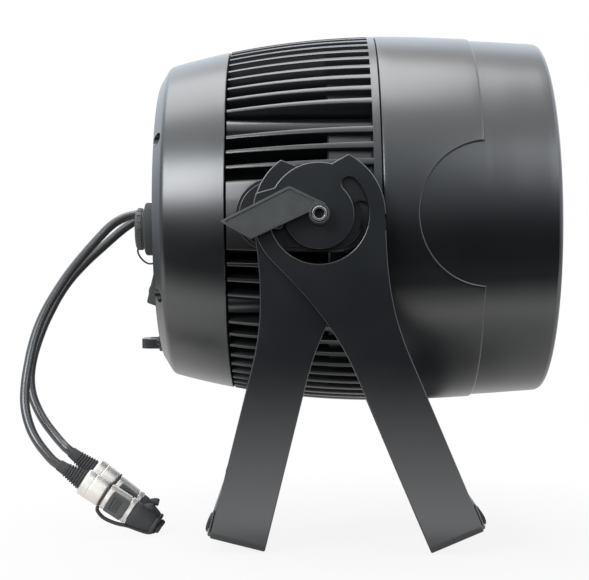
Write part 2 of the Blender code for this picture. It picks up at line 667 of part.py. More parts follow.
def yoke_head_outline():
    # Half of the head, from the leg's straight edge up to the crown's top, outer side.
    leave = -22.0
    start = (HEAD_RADIUS * math.cos(math.radians(leave)), HEAD_RADIUS * math.sin(math.radians(leave)))
    slope = (math.sin(math.radians(leave)), -math.cos(math.radians(leave)))
    low = (ARM_HALF_WIDTH, -105 * mm)
    blend = bezier(low, (ARM_HALF_WIDTH, -75 * mm),
                   (start[0] + slope[0] * 40 * mm, start[1] + slope[1] * 40 * mm), start, 6)
    side = arc(HEAD_RADIUS, leave, HORN_ANGLE, 8)[1:]
    crown = arc(CROWN_RADIUS, CROWN_START, 90, 4)
    return blend + side + crown


def slot_outline():
    first, last = SLOT_END_ANGLE, -180 - SLOT_END_ANGLE
    end_a = (SLOT_RADIUS * math.cos(math.radians(first)), SLOT_RADIUS * math.sin(math.radians(first)))
    end_b = (SLOT_RADIUS * math.cos(math.radians(last)), SLOT_RADIUS * math.sin(math.radians(last)))
    outer = arc(SLOT_RADIUS + SLOT_HALF_WIDTH, last, first, 16)
    cap_a = arc(SLOT_HALF_WIDTH, first, first + 180, 5, end_a)[1:-1]
    inner = arc(SLOT_RADIUS - SLOT_HALF_WIDTH, first, last, 14)
    cap_b = arc(SLOT_HALF_WIDTH, last + 180, last + 360, 5, end_b)[1:-1]
    return outer + cap_a + inner + cap_b


def yoke_mesh(name, arm_y, leg, side):
    # Drawn with the leg straight down; side is +1 for the front yoke and -1 for the rear one.
    join = -120 * mm
    half = yoke_head_outline()
    outline = [(ARM_HALF_WIDTH, join)] + half + [(-x, z) for x, z in reversed(half[:-1])]
    outline += [(-ARM_HALF_WIDTH, join)]
    loops = [outline, slot_outline(), arc(BOLT_HOLE_RADIUS, 0, 337.5, 15)]
    bm = bmesh.new()
    flat = [[Vector((x, z, 0)) for x, z in loop] for loop in loops]
    triangles = tessellate_polygon(flat)
    open_edge = len(outline) - 1
    ends = {}
    for arm in (-1, 1):
        layers = []
        for level in (arm_y, arm_y + PLATE):
            layers.append([bm.verts.new((side * x, arm * level, z)) for loop in loops for x, z in loop])
        for triangle in triangles:
            for layer in layers:
                bm.faces.new([layer[i] for i in triangle])
        start = 0
        for number, loop in enumerate(loops):
            for i in range(len(loop)):
                if number == 0 and i == open_edge:
                    continue
                a, b = start + i, start + (i + 1) % len(loop)
                bm.faces.new((layers[0][a], layers[0][b], layers[1][b], layers[1][a]))
            start += len(loop)
        ends[arm] = [(layer[0], layer[open_edge]) for layer in layers]
    inside = BEND_RADIUS - PLATE
    centre_y = arm_y - inside
    centre_z = -leg + BEND_RADIUS
    path = []
    for i in range(5):
        angle = math.radians(-90 * i / 4)
        spread = (math.cos(angle), math.sin(angle))
        path.append([(centre_y + r * spread[0], centre_z + r * spread[1]) for r in (inside, BEND_RADIUS)])
    path = path + [[(-y, z) for y, z in pair] for pair in reversed(path)]
    previous = ends[1]
    for pair in path:
        current = []
        for y, z in pair:
            current.append(tuple(bm.verts.new((side * x, y, z)) for x in (ARM_HALF_WIDTH, -ARM_HALF_WIDTH)))
        join_bands(bm, previous, current)
        previous = current
    join_bands(bm, previous, ends[-1])
    return finish_mesh(name, bm)


def join_bands(bm, first, second):
    # Closes the four sides of the plate between two cross sections of (inner pair, outer pair).
    (a, b), (c, d) = first
    (e, f), (g, h) = second
    for corners in ((a, b, f, e), (c, d, h, g), (a, c, g, e), (b, d, h, f)):
        bm.faces.new(corners)


def make_yoke(name, label, arm_y, leg_angle, side, pivot, finishes):
    sine, cosine = math.sin(math.radians(leg_angle)), math.cos(math.radians(leg_angle))
    leg = (PIVOT_HEIGHT - ARM_HALF_WIDTH * sine) / cosine      # the bar's inner edge stands on the floor
    hinge = bpy.data.objects.new(name + "_hinge", None)
    bpy.context.scene.collection.objects.link(hinge)
    hinge.parent = pivot
    hinge.rotation_euler = (0, -side * math.radians(leg_angle), 0)
    yoke = add_object(name, yoke_mesh(name, arm_y, leg, side), finishes["black paint"], hinge, 30)
    lip_outer = LIP_INNER + LIP_THICKNESS
    foot, top = -leg, -leg + LIP_HEIGHT
    profile = [(15.5 * mm, foot), (lip_outer - 1 * mm, foot), (lip_outer, foot + 1 * mm),
               (lip_outer, top), (LIP_INNER, top), (LIP_INNER, foot + PLATE), (15.5 * mm, foot + PLATE)]
    reach = arm_y - 6 * mm
    lip = prism(name + "_lip", [(side * x, z) for x, z in profile], -reach, reach)
    combine(yoke, "UNION", lip, hinge)
    hole = prism(name + "_clamp_hole", arc(CLAMP_HOLE_RADIUS, 0, 345, 23), foot - 5 * mm, foot + 8 * mm,
                 plane="XY")
    combine(yoke, "DIFFERENCE", hole, hinge)
    near = lip_outer + GAP
    pad = [(near, foot + 2.0 * mm), (near + 1.9 * mm, foot + 4.5 * mm), (near + 2.1 * mm, foot + 7.5 * mm),
           (near + 1.2 * mm, foot + 15.5 * mm), (near, foot + 16.5 * mm)]
    for sign, where in ((-1, "right"), (1, "left")):
        low, high = sorted((sign * (reach - 16 * mm), sign * (reach - 2 * mm)))
        pad_name = "%s_bumper_%s" % (label, where)
        add_object(pad_name, prism(pad_name, [(side * x, z) for x, z in pad], low, high),
                   finishes["rubber"], hinge)
    return yoke


# Tilt axis hardware and clamp levers

def make_axis_hardware(pivot, head, finishes):
    def ring(name, side, low, high, inner, outer, finish, sides=24):
        profile = [(side * low * mm, inner * mm), (side * low * mm, outer * mm),
                   (side * high * mm, outer * mm), (side * high * mm, inner * mm)]
        add_object(name, turned_about_y(name, profile, sides=sides), finish, pivot)

    for side, label in ((-1, "right"), (1, "left")):
        ring("pivot_bolt_" + label, side, 119.0, 146.0, 0.0, 5.0, finishes["zinc steel"], 16)
        ring("friction_washer_" + label, side, 131.3, 132.8, 5.4, 20.0, finishes["nylon"])
        ring("spacer_washer_" + label, side, 136.4, 137.9, 5.4, 20.0, finishes["nylon"])
        pin = [(side * 125.0 * mm, 0), (side * 125.0 * mm, STOP_PIN_RADIUS),
               (side * 140.6 * mm, STOP_PIN_RADIUS), (side * 141.2 * mm, STOP_PIN_RADIUS - 0.6 * mm),
               (side * 141.2 * mm, 0)]
        name = "tilt_stop_pin_" + label
        add_object(name, turned_about_y(name, pin, stop_pin_place(), 12), finishes["zinc steel"], head)
        make_lever(label, side, pivot, finishes)


def rounded_polygon(points, radius, steps=2):
    rounded = []
    count = len(points)
    for i in range(count):
        here = Vector(points[i])
        before = (Vector(points[i - 1]) - here).normalized()
        after = (Vector(points[(i + 1) % count]) - here).normalized()
        a, b = here + before * radius, here + after * radius
        for k in range(steps + 1):
            t = k / steps
            rounded.append(tuple(a * (1 - t) ** 2 + here * 2 * t * (1 - t) + b * t * t))
    return rounded


def make_lever(label, side, pivot, finishes):
    # A leaning paddle that lies along the lamp, on a hub at the tilt axis.
    paddle = [(-60.3 * mm, -4.8 * mm), (-18.0 * mm, 16.3 * mm), (4.8 * mm, 5.6 * mm), (-41.8 * mm, -16.0 * mm)]
    inner = [(-57.2 * mm, -4.7 * mm), (-18.2 * mm, 14.7 * mm), (-6.0 * mm, 9.0 * mm), (-9.6 * mm, 0.4 * mm),
             (-41.7 * mm, -14.0 * mm)]
    name = "clamp_lever_" + label
    lever = add_object(name, prism(name, rounded_polygon(paddle, 1.4 * mm), side * 145.5 * mm, side * 152.5 * mm),
                       finishes["black plastic"], pivot)
    hub = [(side * 141.5 * mm, 0), (side * 141.5 * mm, 7.2 * mm), (side * 152.0 * mm, 6.7 * mm),
           (side * 152.0 * mm, 0)]
    combine(lever, "UNION", turned_about_y("lever_hub_" + label, hub, sides=20), pivot)
    recess = prism("lever_recess_" + label, rounded_polygon(inner, 1.5 * mm), side * 151.7 * mm, side * 154 * mm)
    combine(lever, "DIFFERENCE", recess, pivot)
    bore = [(side * 140 * mm, 0), (side * 140 * mm, 5.3 * mm), (side * 146.4 * mm, 5.3 * mm),
            (side * 146.4 * mm, 3.3 * mm), (side * 148 * mm, 3.3 * mm), (side * 148 * mm, 5.3 * mm),
            (side * 155 * mm, 5.3 * mm), (side * 155 * mm, 0)]
    combine(lever, "DIFFERENCE", turned_about_y("lever_bore_" + label, bore, sides=18), pivot)
    screw = [(side * 146.3 * mm, 0), (side * 146.3 * mm, 3.0 * mm), (side * 148.3 * mm, 3.0 * mm),
             (side * 148.3 * mm, 4.9 * mm), (side * 153.0 * mm, 4.9 * mm), (side * 153.6 * mm, 4.3 * mm),
             (side * 153.6 * mm, 2.5 * mm), (side * 151.0 * mm, 2.5 * mm), (side * 151.0 * mm, 0)]
    name = "lever_screw_" + label
    add_object(name, turned_about_y(name, screw, sides=14), finishes["zinc steel"], pivot)


# Data leads with their connectors

def make_lead(label, route_points, pivot, finishes):
    slope = math.radians(CONNECTOR_SLOPES[label])
    tip_place = Vector(route_points[-1])
    before = tip_place - Vector((math.cos(slope), 0, -math.sin(slope))) * 8     # so the lead meets the boot square
    route, length = smooth_route(list(route_points[:-1]) + [before, tip_place], 15 * mm)
    print("lead %s is %.0f mm long" % (label, length / mm))
    tube("data_lead_" + label, route, LEAD_RADIUS, finishes["rubber"], pivot, 10)
    tip = bpy.data.objects.new("connector_%s" % label, None)     # on the boot's tip; +X goes down the connector
    bpy.context.scene.collection.objects.link(tip)
    tip.parent = pivot
    tip.location = tip_place * mm
    tip.rotation_euler = (0, slope, 0)
    boot = [(1.0 * mm, 0), (1.0 * mm, 3.6 * mm)]
    for i in range(6):
        start, radius = 3.0 + 2.4 * i, 4.4 + 0.5 * i
        boot += [(start * mm, (radius - 0.7) * mm), ((start + 0.6) * mm, radius * mm),
                 ((start + 1.7) * mm, radius * mm)]
    boot += [(18.0 * mm, 7.2 * mm), (18.0 * mm, 0)]
    name = "lead_boot_" + label
    add_object(name, turned(name, boot, 10), finishes["rubber"], tip)
    shell = [(18.3 * mm, 0), (18.3 * mm, 8.6 * mm), (19.2 * mm, 9.4 * mm), (34.0 * mm, 9.4 * mm),
             (34.6 * mm, 8.8 * mm), (34.6 * mm, 8.0 * mm), (36.6 * mm, 8.0 * mm), (36.6 * mm, 8.9 * mm),
             (52.0 * mm, 8.9 * mm), (52.0 * mm, 8.2 * mm), (53.2 * mm, 8.2 * mm), (53.2 * mm, 9.1 * mm),
             (56.5 * mm, 9.1 * mm), (56.5 * mm, 6.6 * mm), (50.0 * mm, 6.6 * mm), (50.0 * mm, 0)]
    name = "lead_connector_" + label
    connector = add_object(name, turned(name, shell, 20), finishes["nickel brass"], tip)
    seat = box("latch_seat_" + label, (38.0 * mm, -14 * mm, -6.6 * mm), (50.9 * mm, -7.6 * mm, 6.6 * mm))
    combine(connector, "DIFFERENCE", seat, tip)
    latch = box("lead_latch_" + label, (38.3 * mm, -10.6 * mm, -6.3 * mm), (50.6 * mm, -7.9 * mm, 6.3 * mm))
    soften(add_object("lead_latch_" + label, latch, finishes["black plastic"], tip), 0.8 * mm, 1)
    cap = [(56.8 * mm, 0), (50.8 * mm, 0), (50.8 * mm, 6.2 * mm), (56.8 * mm, 6.2 * mm), (56.8 * mm, 8.4 * mm),
           (63.0 * mm, 8.0 * mm), (72.5 * mm, 5.6 * mm), (74.5 * mm, 5.6 * mm), (76.0 * mm, 4.0 * mm),
           (76.0 * mm, 0)]
    name = "lead_cap_" + label
    add_object(name, turned(name, cap[1:], 16), finishes["rubber"], tip)
    return tip


def make_lead_strap(label, tip, finishes):
    # Hangs from the groove behind the connector's first ring, under it, to the cap.
    loop = [(35.6, 0.0, -9.2), (37.4, 0.0, -12.0), (43.5, 0.0, -14.1), (52.0, 0.0, -13.3),
            (60.0, 0.0, -10.7), (67.0, 0.0, -8.6), (73.5, 0.0, -6.9)]
    route, _ = smooth_route(loop, 3 * mm)
    tube("lead_strap_" + label, route, 0.85 * mm, finishes["rubber"], tip, 6)


def main():
    for old in list(bpy.data.objects):
        bpy.data.objects.remove(old, do_unlink=True)
    finishes = {
        "black paint": material("satin_black_powder_coat", "1E1F21", 0.42),
        "cast paint": material("satin_black_casting", "1B1C1E", 0.40),
        "black plastic": material("moulded_black_nylon", "17181A", 0.50),
        "rubber": material("black_rubber", "141414", 0.75),
        "nylon": material("grey_nylon_washer", "5A5C5E", 0.55),
        "glass": material("toughened_glass", "C9D2D2", 0.05),
        "dark glass": material("smoked_display_window", "0C0D10", 0.08),
        "lens": material("clear_acrylic_lens", "D8DCE0", 0.10),
        "circuit": material("white_circuit_board", "D9DAD6", 0.45),
        "zinc steel": material("zinc_plated_steel", "A9ABAE", 0.35, 1.0),
        "nickel brass": material("nickel_plated_brass", "C2BFB8", 0.28, 1.0),
    }
    pivot = bpy.data.objects.new("tilt_axis", None)
    bpy.context.scene.collection.objects.link(pivot)
    pivot.location = (PIVOT_X, 0, PIVOT_HEIGHT)
    head = bpy.data.objects.new("lamp_axis", None)               # its +X is the beam
    bpy.context.scene.collection.objects.link(head)
    head.parent = pivot
    head.rotation_euler = (0, -math.radians(HEAD_TILT), 0)

    make_heat_sink(head, finishes["cast paint"])
    make_front_housing(head, finishes["cast paint"])
    make_optics(head, finishes)
    make_rear_cover(head, finishes["cast paint"])
    make_inner_works(head, finishes)
    make_control_panel(head, finishes)
    make_rear_fittings(head, finishes)
    make_yoke("rear_yoke", "rear", INNER_ARM_Y, REAR_LEG_ANGLE, -1, pivot, finishes)
    make_yoke("front_yoke", "front", OUTER_ARM_Y, FRONT_LEG_ANGLE, 1, pivot, finishes)
    make_axis_hardware(pivot, head, finishes)
    for label, route in (("near", NEAR_LEAD), ("far", FAR_LEAD)):
        tip = make_lead(label, route, pivot, finishes)
        make_lead_strap(label, tip, finishes)


main()
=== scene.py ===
# A weatherproof LED wash light standing on its two yokes, dressed over its CAD frame.
# The lamp's shapes are drawn in its own axes, millimetres ahead of the tilt axis and out from the beam's line.

import math

import bmesh
import bpy
from mathutils import Matrix, Vector
from mathutils.geometry import tessellate_polygon


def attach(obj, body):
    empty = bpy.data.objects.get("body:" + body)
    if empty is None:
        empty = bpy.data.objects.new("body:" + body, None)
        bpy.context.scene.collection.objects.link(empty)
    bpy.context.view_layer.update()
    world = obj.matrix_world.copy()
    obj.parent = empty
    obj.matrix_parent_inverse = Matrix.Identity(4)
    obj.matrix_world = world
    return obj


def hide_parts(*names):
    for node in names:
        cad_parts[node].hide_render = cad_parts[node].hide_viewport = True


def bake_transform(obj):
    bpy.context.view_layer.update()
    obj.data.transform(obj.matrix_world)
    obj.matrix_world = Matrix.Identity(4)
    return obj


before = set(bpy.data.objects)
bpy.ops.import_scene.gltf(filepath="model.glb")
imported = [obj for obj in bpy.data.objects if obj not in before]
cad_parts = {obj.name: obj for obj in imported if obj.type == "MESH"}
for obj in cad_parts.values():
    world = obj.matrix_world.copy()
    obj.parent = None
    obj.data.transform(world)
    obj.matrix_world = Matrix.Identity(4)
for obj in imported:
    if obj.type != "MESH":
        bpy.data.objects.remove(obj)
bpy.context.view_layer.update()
print("frame loaded")

mm = 0.001
stand = {
    "pivot": Vector((-0.016, 0, 0.2142)),    # the tilt axis
    "headTilt": 0.55,                          # degrees, light exit up
    "frontLeg": 22.9,                          # degrees from straight down
    "rearLeg": 13.9,
}
asDrawn = Matrix.Identity(4)
pivotPlace = Matrix.Translation(stand["pivot"])
headPlace = pivotPlace @ Matrix.Rotation(-math.radians(stand["headTilt"]), 4, "Y")


# Camera: level, looking across the tilt axis from the lamp's right side

camera = {
    "distance": 1.038,          # metres from the beam's line
    "back": 0.0101,             # behind the tilt axis
    "below": 0.0265,            # under the tilt axis
    "focal": 1428.6,            # pixels, in a picture of 589 x 580
    "axisPixel": (303, 256),    # where the optical axis meets the picture
    "picture": (589, 580),
    "sensor": 36,
}


def addCamera(look):
    width, height = look["picture"]
    lens = bpy.data.cameras.new("photoCamera")
    lens.sensor_width = look["sensor"]
    lens.lens = look["focal"] / width * look["sensor"]
    lens.shift_x = (width / 2 - look["axisPixel"][0]) / width
    lens.shift_y = (look["axisPixel"][1] - height / 2) / width
    lens.clip_start = 0.05
    eye = bpy.data.objects.new("photoCamera", lens)
    bpy.context.scene.collection.objects.link(eye)
    eye.location = stand["pivot"] + Vector((-look["back"], -look["distance"], -look["below"]))
    eye.rotation_euler = (math.pi / 2, 0, 0)
    bpy.context.scene.camera = eye


addCamera(camera)
print("camera placed")


# Materials

def linear(hexColour):
    # sRGB hex to the linear values that shaders use
    values = [int(hexColour[i:i + 2], 16) / 255 for i in (0, 2, 4)]
    return (*[v / 12.92 if v <= 0.04045 else ((v + 0.055) / 1.055) ** 2.4 for v in values], 1)


def linkInto(tree, node, links):
    # A node given as a source stands for its first output.
    for key, source in links.items():
        tree.links.new(getattr(source, "outputs", [source])[0], node.inputs[key])


def addNode(tree, kind, inputs=None, links=None, **settings):
    node = tree.nodes.new("ShaderNode" + kind)
    for key, value in settings.items():
        setattr(node, key, value)
    for key, value in (inputs or {}).items():
        node.inputs[key].default_value = value
    linkInto(tree, node, links or {})
    return node


def startMaterial(name, shaderInputs=None):
    material = bpy.data.materials.new(name)
    material.use_nodes = True
    tree = material.node_tree
    shader = tree.nodes["Principled BSDF"]
    for key, value in (shaderInputs or {}).items():
        shader.inputs[key].default_value = value
    return material, tree, shader, addNode(tree, "TexCoord").outputs["Object"]


def grainedSurface(name, colour, paler, driftMm, roughness, grainMm, heightMm, relief=0.5, ior=1.5,
                   reflection=0.5, metallic=0):
    # An opaque surface: a soft drift of colour, uneven gloss and a fine grain in relief.
    material, tree, shader, place = startMaterial(
        name, {"Metallic": metallic, "IOR": ior, "Specular IOR Level": reflection})
    drift = addNode(tree, "TexNoise", {"Scale": 1000 / driftMm, "Detail": 4}, {"Vector": place})
    tone = addNode(tree, "Mix", {"A": linear(colour), "B": linear(paler)}, {"Factor": drift}, data_type="RGBA")
    gloss = addNode(tree, "MapRange", {"From Min": 0.3, "From Max": 0.7, "To Min": roughness[0],
                                       "To Max": roughness[1]}, {"Value": drift})
    grain = addNode(tree, "TexNoise", {"Scale": 1000 / grainMm, "Detail": 3, "Roughness": 0.6}, {"Vector": place})
    bump = addNode(tree, "Bump", {"Strength": relief, "Distance": heightMm * mm}, {"Height": grain})
    linkInto(tree, shader, {"Base Color": tone.outputs["Result"], "Roughness": gloss, "Normal": bump})
    return material


finish = {     # name, colour and what it drifts to in sRGB, then sizes in mm
    # Polyester powder coat on die-cast aluminium: satin black, with a faint orange peel that softens every
    # reflection. Real peel is 0.8 mm across; it is drawn coarser to show.
    "casting": grainedSurface("powderCoatedCasting", "060A0E", "0B1014", driftMm=60, roughness=(0.30, 0.34),
        grainMm=1.6, heightMm=0.008, ior=1.6, reflection=1),
    # Powder coat on bent steel plate: the same black, sprayed thinner, so it is a little smoother and flatter.
    "plate": grainedSurface("powderCoatedPlate", "060B10", "0B1117", driftMm=45, roughness=(0.28, 0.33), grainMm=1.4,
        heightMm=0.006, ior=1.6, reflection=1),
    # Glass-filled nylon, moulded in a spark-eroded tool: an even dull grain that goes grey where light grazes it.
    # Real grain is 0.2 mm.
    "nylon": grainedSurface("mouldedNylon", "454847", "535655", driftMm=9, roughness=(0.44, 0.56), grainMm=1.1,
        heightMm=0.09, relief=1, ior=1.53),
    # EPDM rubber, compression moulded: matt dark grey, with a dry bloom that drifts over it.
    "rubber": grainedSurface("mouldedRubber", "3C3E3F", "4C4E4F", driftMm=14, roughness=(0.62, 0.78), grainMm=1.2,
        heightMm=0.01, ior=1.45),
    # Extruded PVC jacket: smooth and half matt, so it shows one long soft highlight.
    "cable": grainedSurface("extrudedCableJacket", "333537", "3E4042", driftMm=30, roughness=(0.26, 0.34),
        grainMm=2.5, heightMm=0.01, reflection=1),
    # Nitrile O-ring: brown-black and a little oily.
    "oRing": grainedSurface("nitrileRing", "2A1D18", "3A2A22", driftMm=8, roughness=(0.35, 0.45), grainMm=1,
        heightMm=0.01),
    # Bright zinc on steel fasteners: pale, slightly blue and cloudy.
    "zinc": grainedSurface("zincPlatedSteel", "8E9194", "A9ACAE", driftMm=5, roughness=(0.28, 0.42), grainMm=0.8,
        heightMm=0.006, metallic=1),
    # Black-oxide socket screws: dark metal with a dull shine on the edges.
    "oxide": grainedSurface("blackOxideSteel", "3A3A3C", "4A4A4C", driftMm=4, roughness=(0.30, 0.42), grainMm=0.8,
        heightMm=0.006, metallic=1),
    # Nylon filled with molybdenum sulphide, machined into washers: waxy mid grey.
    "washer": grainedSurface("machinedNylonWasher", "55585A", "66696B", driftMm=10, roughness=(0.45, 0.55),
        grainMm=0.9, heightMm=0.008),
    # White solder mask on an aluminium circuit board: clean and half glossy, to throw light forward.
    "board": grainedSurface("whiteSolderMask", "DEDEDA", "EAEAE6", driftMm=25, roughness=(0.30, 0.40), grainMm=2,
        heightMm=0.006),
    # Potted driver block in dark grey resin.
    "supply": grainedSurface("pottedSupplyResin", "303236", "3A3C40", driftMm=30, roughness=(0.40, 0.60), grainMm=3,
        heightMm=0.03),
    # Smoked polycarbonate over the display: nearly black and glossy.
    "window": grainedSurface("smokedPolycarbonate", "0A0B0E", "0E1014", driftMm=20, roughness=(0.08, 0.12), grainMm=8,
        heightMm=0.01, ior=1.58),
    # Pad-printed grey ink on the menu's arrows.
    "legend": grainedSurface("padPrintedInk", "B9BCBE", "C6C9CB", driftMm=3, roughness=(0.5, 0.6), grainMm=0.6,
        heightMm=0.004),
}
# Phosphors and bare dies under silicone: small, bright and glossy even when unlit.
dies = {"dieRed": ("redEmitter", "7A2A22"), "dieGreen": ("greenEmitter", "3E6B40"),
        "dieBlue": ("blueEmitter", "2C3E7A"), "dieWhite": ("phosphorEmitter", "D9C64A")}
for kind, (name, colour) in dies.items():
    finish[kind] = grainedSurface(name, colour, colour, driftMm=2, roughness=(0.20, 0.28), grainMm=0.5, heightMm=0.004)


def nickelPlate():
    # Satin nickel on turned brass: warm and pale, with faint rings left by the lathe tool. Real rings are 0.1 mm.
    look = {"colour": "E4DFD8", "paler": "F2EEE8", "hazeMm": 6, "roughness": (0.46, 0.58), "mmPerRadian": 0.9,
            "heightMm": 0.012}
    material, tree, shader, place = startMaterial("satinNickelPlate", {"Metallic": 1})
    haze = addNode(tree, "TexNoise", {"Scale": 1000 / look["hazeMm"], "Detail": 3}, {"Vector": place})
    tone = addNode(tree, "ValToRGB", None, {"Fac": haze})
    for stop, colour in zip(tone.color_ramp.elements, (look["colour"], look["paler"])):
        stop.color = linear(colour)
    low, high = look["roughness"]
    gloss = addNode(tree, "MapRange", {"To Min": low, "To Max": high}, {"Value": haze})
    # The node's bands go through 20 radians in a unit of its scale, and a ring is a whole turn.
    rings = addNode(tree, "TexWave", {"Scale": 1000 / look["mmPerRadian"] / 20, "Distortion": 0.4},
                    {"Vector": place}, bands_direction="X")
    relief = addNode(tree, "Bump", {"Strength": 0.25, "Distance": look["heightMm"] * mm},
                     {"Height": rings.outputs["Fac"]})
    linkInto(tree, shader, {"Base Color": tone, "Roughness": gloss, "Normal": relief})
    return material


def clearSurface(name, colour, clear, roughness, ior, waveMm, heightMm):
    # A see-through moulding or sheet, with a slight waviness.
    material, tree, shader, place = startMaterial(name, {
        "Base Color": linear(colour), "Transmission Weight": clear, "Roughness": roughness, "IOR": ior})
    wave = addNode(tree, "TexNoise", {"Scale": 1000 / waveMm, "Detail": 2}, {"Vector": place})
    bump = addNode(tree, "Bump", {"Strength": 0.2, "Distance": heightMm * mm}, {"Height": wave})
    linkInto(tree, shader, {"Normal": bump})
    return material


finish["nickel"] = nickelPlate()
# Toughened soda-lime glass, 4 mm: clear with a breath of green at the edge.
finish["glass"] = clearSurface("toughenedGlass", "F2F8F5", clear=1, roughness=0.01, ior=1.52, waveMm=40, heightMm=0.01)
# Injection-moulded PMMA collimators: water clear, edges full of small highlights.
finish["lens"] = clearSurface("mouldedAcrylicLens", "F6F8FA", clear=0.9, roughness=0.06, ior=1.49, waveMm=6,
                              heightMm=0.03)
print("materials made:", len(finish))


# Shapes

def softenEdges(piece, width, steps=2, sharpest=30, harden=True):
    edge = piece.modifiers.new("softEdges", "BEVEL")
    edge.width, edge.segments, edge.limit_method = width, steps, "ANGLE"
    edge.angle_limit = math.radians(sharpest)
    edge.harden_normals = harden
    return edge


def smoothFaces(mesh, sharpest=30):
    mesh.shade_smooth()
    mesh.set_sharp_from_angle(angle=math.radians(sharpest))


def fit(piece, body, stands=None):
    # Carried by a body of the CAD, and in the place of one of its nodes.
    if body:
        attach(piece, body)
    if stands:
        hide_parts(stands)


def addPiece(name, mesh, material, body="lamp_head", stands=None, place=headPlace, smooth=32, bevel=0, steps=2,
             cut=None):
    mesh.name = name
    piece = bpy.data.objects.new(name, mesh)
    bpy.context.scene.collection.objects.link(piece)
    mesh.materials.append(finish.get(material, material))
    piece.matrix_world = place
    if smooth:
        smoothFaces(mesh, smooth)
    if bevel:
        softenEdges(piece, bevel, steps, harden=bool(smooth))
    if cut:
        cutWith(piece, cut)
    fit(piece, body, stands)
    return piece


def closeMesh(bm):
    bmesh.ops.remove_doubles(bm, verts=bm.verts, dist=2e-6)
    bmesh.ops.recalc_face_normals(bm, faces=bm.faces)
    mesh = bpy.data.meshes.new("shape")
    bm.to_mesh(mesh)
    bm.free()
    return mesh


def bridge(bm, first, second, gap=None):
    # Faces between two closed rings of corners, but for the one at the gap.
    for i in range(len(first)):
        if i != gap:
            j = (i + 1) % len(first)
            bm.faces.new((first[i], first[j], second[j], second[i]))


def easeCorners(points, radius, closed=True, steps=3):
    # Rounds the corners of an outline; a corner gets less where its sides are short.
    eased = []
    count = len(points)
    for i, point in enumerate(points):
        here = Vector(point)
        toBefore, toAfter = Vector(points[i - 1]) - here, Vector(points[(i + 1) % count]) - here
        reach = min(radius, toBefore.length * 0.45, toAfter.length * 0.45)
        if reach < 1e-6 or not closed and i in (0, count - 1):
            eased.append(tuple(here))
            continue
        a, b = here + toBefore.normalized() * reach, here + toAfter.normalized() * reach
        for k in range(steps + 1):
            t = k / steps
            eased.append(tuple(a * (1 - t) ** 2 + here * 2 * t * (1 - t) + b * t * t))
    return eased


def inMm(points):
    return [tuple(value * mm for value in point) for point in points]


def latheMesh(profile, sides=96, soft=0, offset=(0, 0)):
    # A profile of (along, radius) in mm, turned about the lamp's axis or one beside it.
    closed = profile[0][1] > 0
    points = inMm(easeCorners(profile, soft, closed) if soft else profile)
    bm = bmesh.new()
    rings = []
    for along, radius in points:
        angles = [2 * math.pi * i / sides for i in range(1 if radius < 1e-7 else sides)]
        rings.append([bm.verts.new((along, offset[0] * mm + radius * math.cos(angle),
                                    offset[1] * mm + radius * math.sin(angle))) for angle in angles])
    for first, second in list(zip(rings, rings[1:])) + ([(rings[-1], rings[0])] if closed else []):
        if len(first) == 1 and len(second) == 1:
            continue
        for i in range(sides):
            stops = ((first, i), (first, i + 1), (second, i + 1), (second, i))
            corners = [ring[k % sides % len(ring)] for ring, k in stops]
            bm.faces.new(list(dict.fromkeys(corners)))
    return closeMesh(bm)


def acrossMesh(profile, side, sides=48, soft=0):
    # The same about the tilt axis, out to one side.
    mesh = latheMesh([(side * out, radius) for out, radius in profile], sides, soft)
    mesh.transform(Matrix.Rotation(math.pi / 2, 4, "Z"))
    return mesh


def plateFaces(loops):
    # Triangles that fill an outline with holes, as numbers of its corners
    return tessellate_polygon([[Vector((a, b, 0)) for a, b in loop] for loop in loops])


def plateWalls(bm, loops, layers, gap=None):
    # Walls between two layers of an outline with holes, but for a gap in the outer one
    start = 0
    for loop in loops:
        end = start + len(loop)
        bridge(bm, layers[0][start:end], layers[1][start:end], None if start else gap)
        start = end


def closePlate(bm):
    bmesh.ops.recalc_face_normals(bm, faces=bm.faces)
    bmesh.ops.dissolve_limit(bm, angle_limit=math.radians(0.5), verts=bm.verts, edges=bm.edges)
    return closeMesh(bm)


def slabMesh(outline, low, high, holes=(), plane="XZ"):
    # An outline with holes, in mm, given thickness between two levels.
    loops = [inMm(loop) for loop in (outline, *holes)]
    bm = bmesh.new()
    layers = []
    for level in sorted((low * mm, high * mm)):
        layers.append([bm.verts.new({"XZ": (a, level, b), "XY": (a, b, level), "YZ": (level, a, b)}[plane])
                       for loop in loops for a, b in loop])
    triangles = plateFaces(loops)
    for layer in layers:
        for triangle in triangles:
            bm.faces.new([layer[i] for i in triangle])
    plateWalls(bm, loops, layers)
    return closePlate(bm)


def blockMesh(low, high):
    outline = [(low[0], low[2]), (high[0], low[2]), (high[0], high[2]), (low[0], high[2])]
    return slabMesh(outline, low[1], high[1])


def arcPoints(radius, first, last, steps, centre=(0, 0)):
    angles = [math.radians(first + (last - first) * i / steps) for i in range(steps + 1)]
    return [(centre[0] + radius * math.cos(a), centre[1] + radius * math.sin(a)) for a in angles]


def around(count, radius, centre=(0, 0), first=0):
    # Points evenly round a circle
    return arcPoints(radius, first, first + 360 - 360 / count, count - 1, centre)


def roundedRect(halfA, halfB, radius, centre=(0, 0)):
    points = []
    for a, b, first in ((1, 1, 0), (-1, 1, 90), (-1, -1, 180), (1, -1, 270)):
        points += arcPoints(radius, first, first + 90, 6,
                            (centre[0] + a * (halfA - radius), centre[1] + b * (halfB - radius)))
    return points


def joinMeshes(meshes):
    bm = bmesh.new()
    for mesh in meshes:
        bm.from_mesh(mesh)
        bpy.data.meshes.remove(mesh)
    mesh = bpy.data.meshes.new("shapes")
    bm.to_mesh(mesh)
    bm.free()
    return mesh


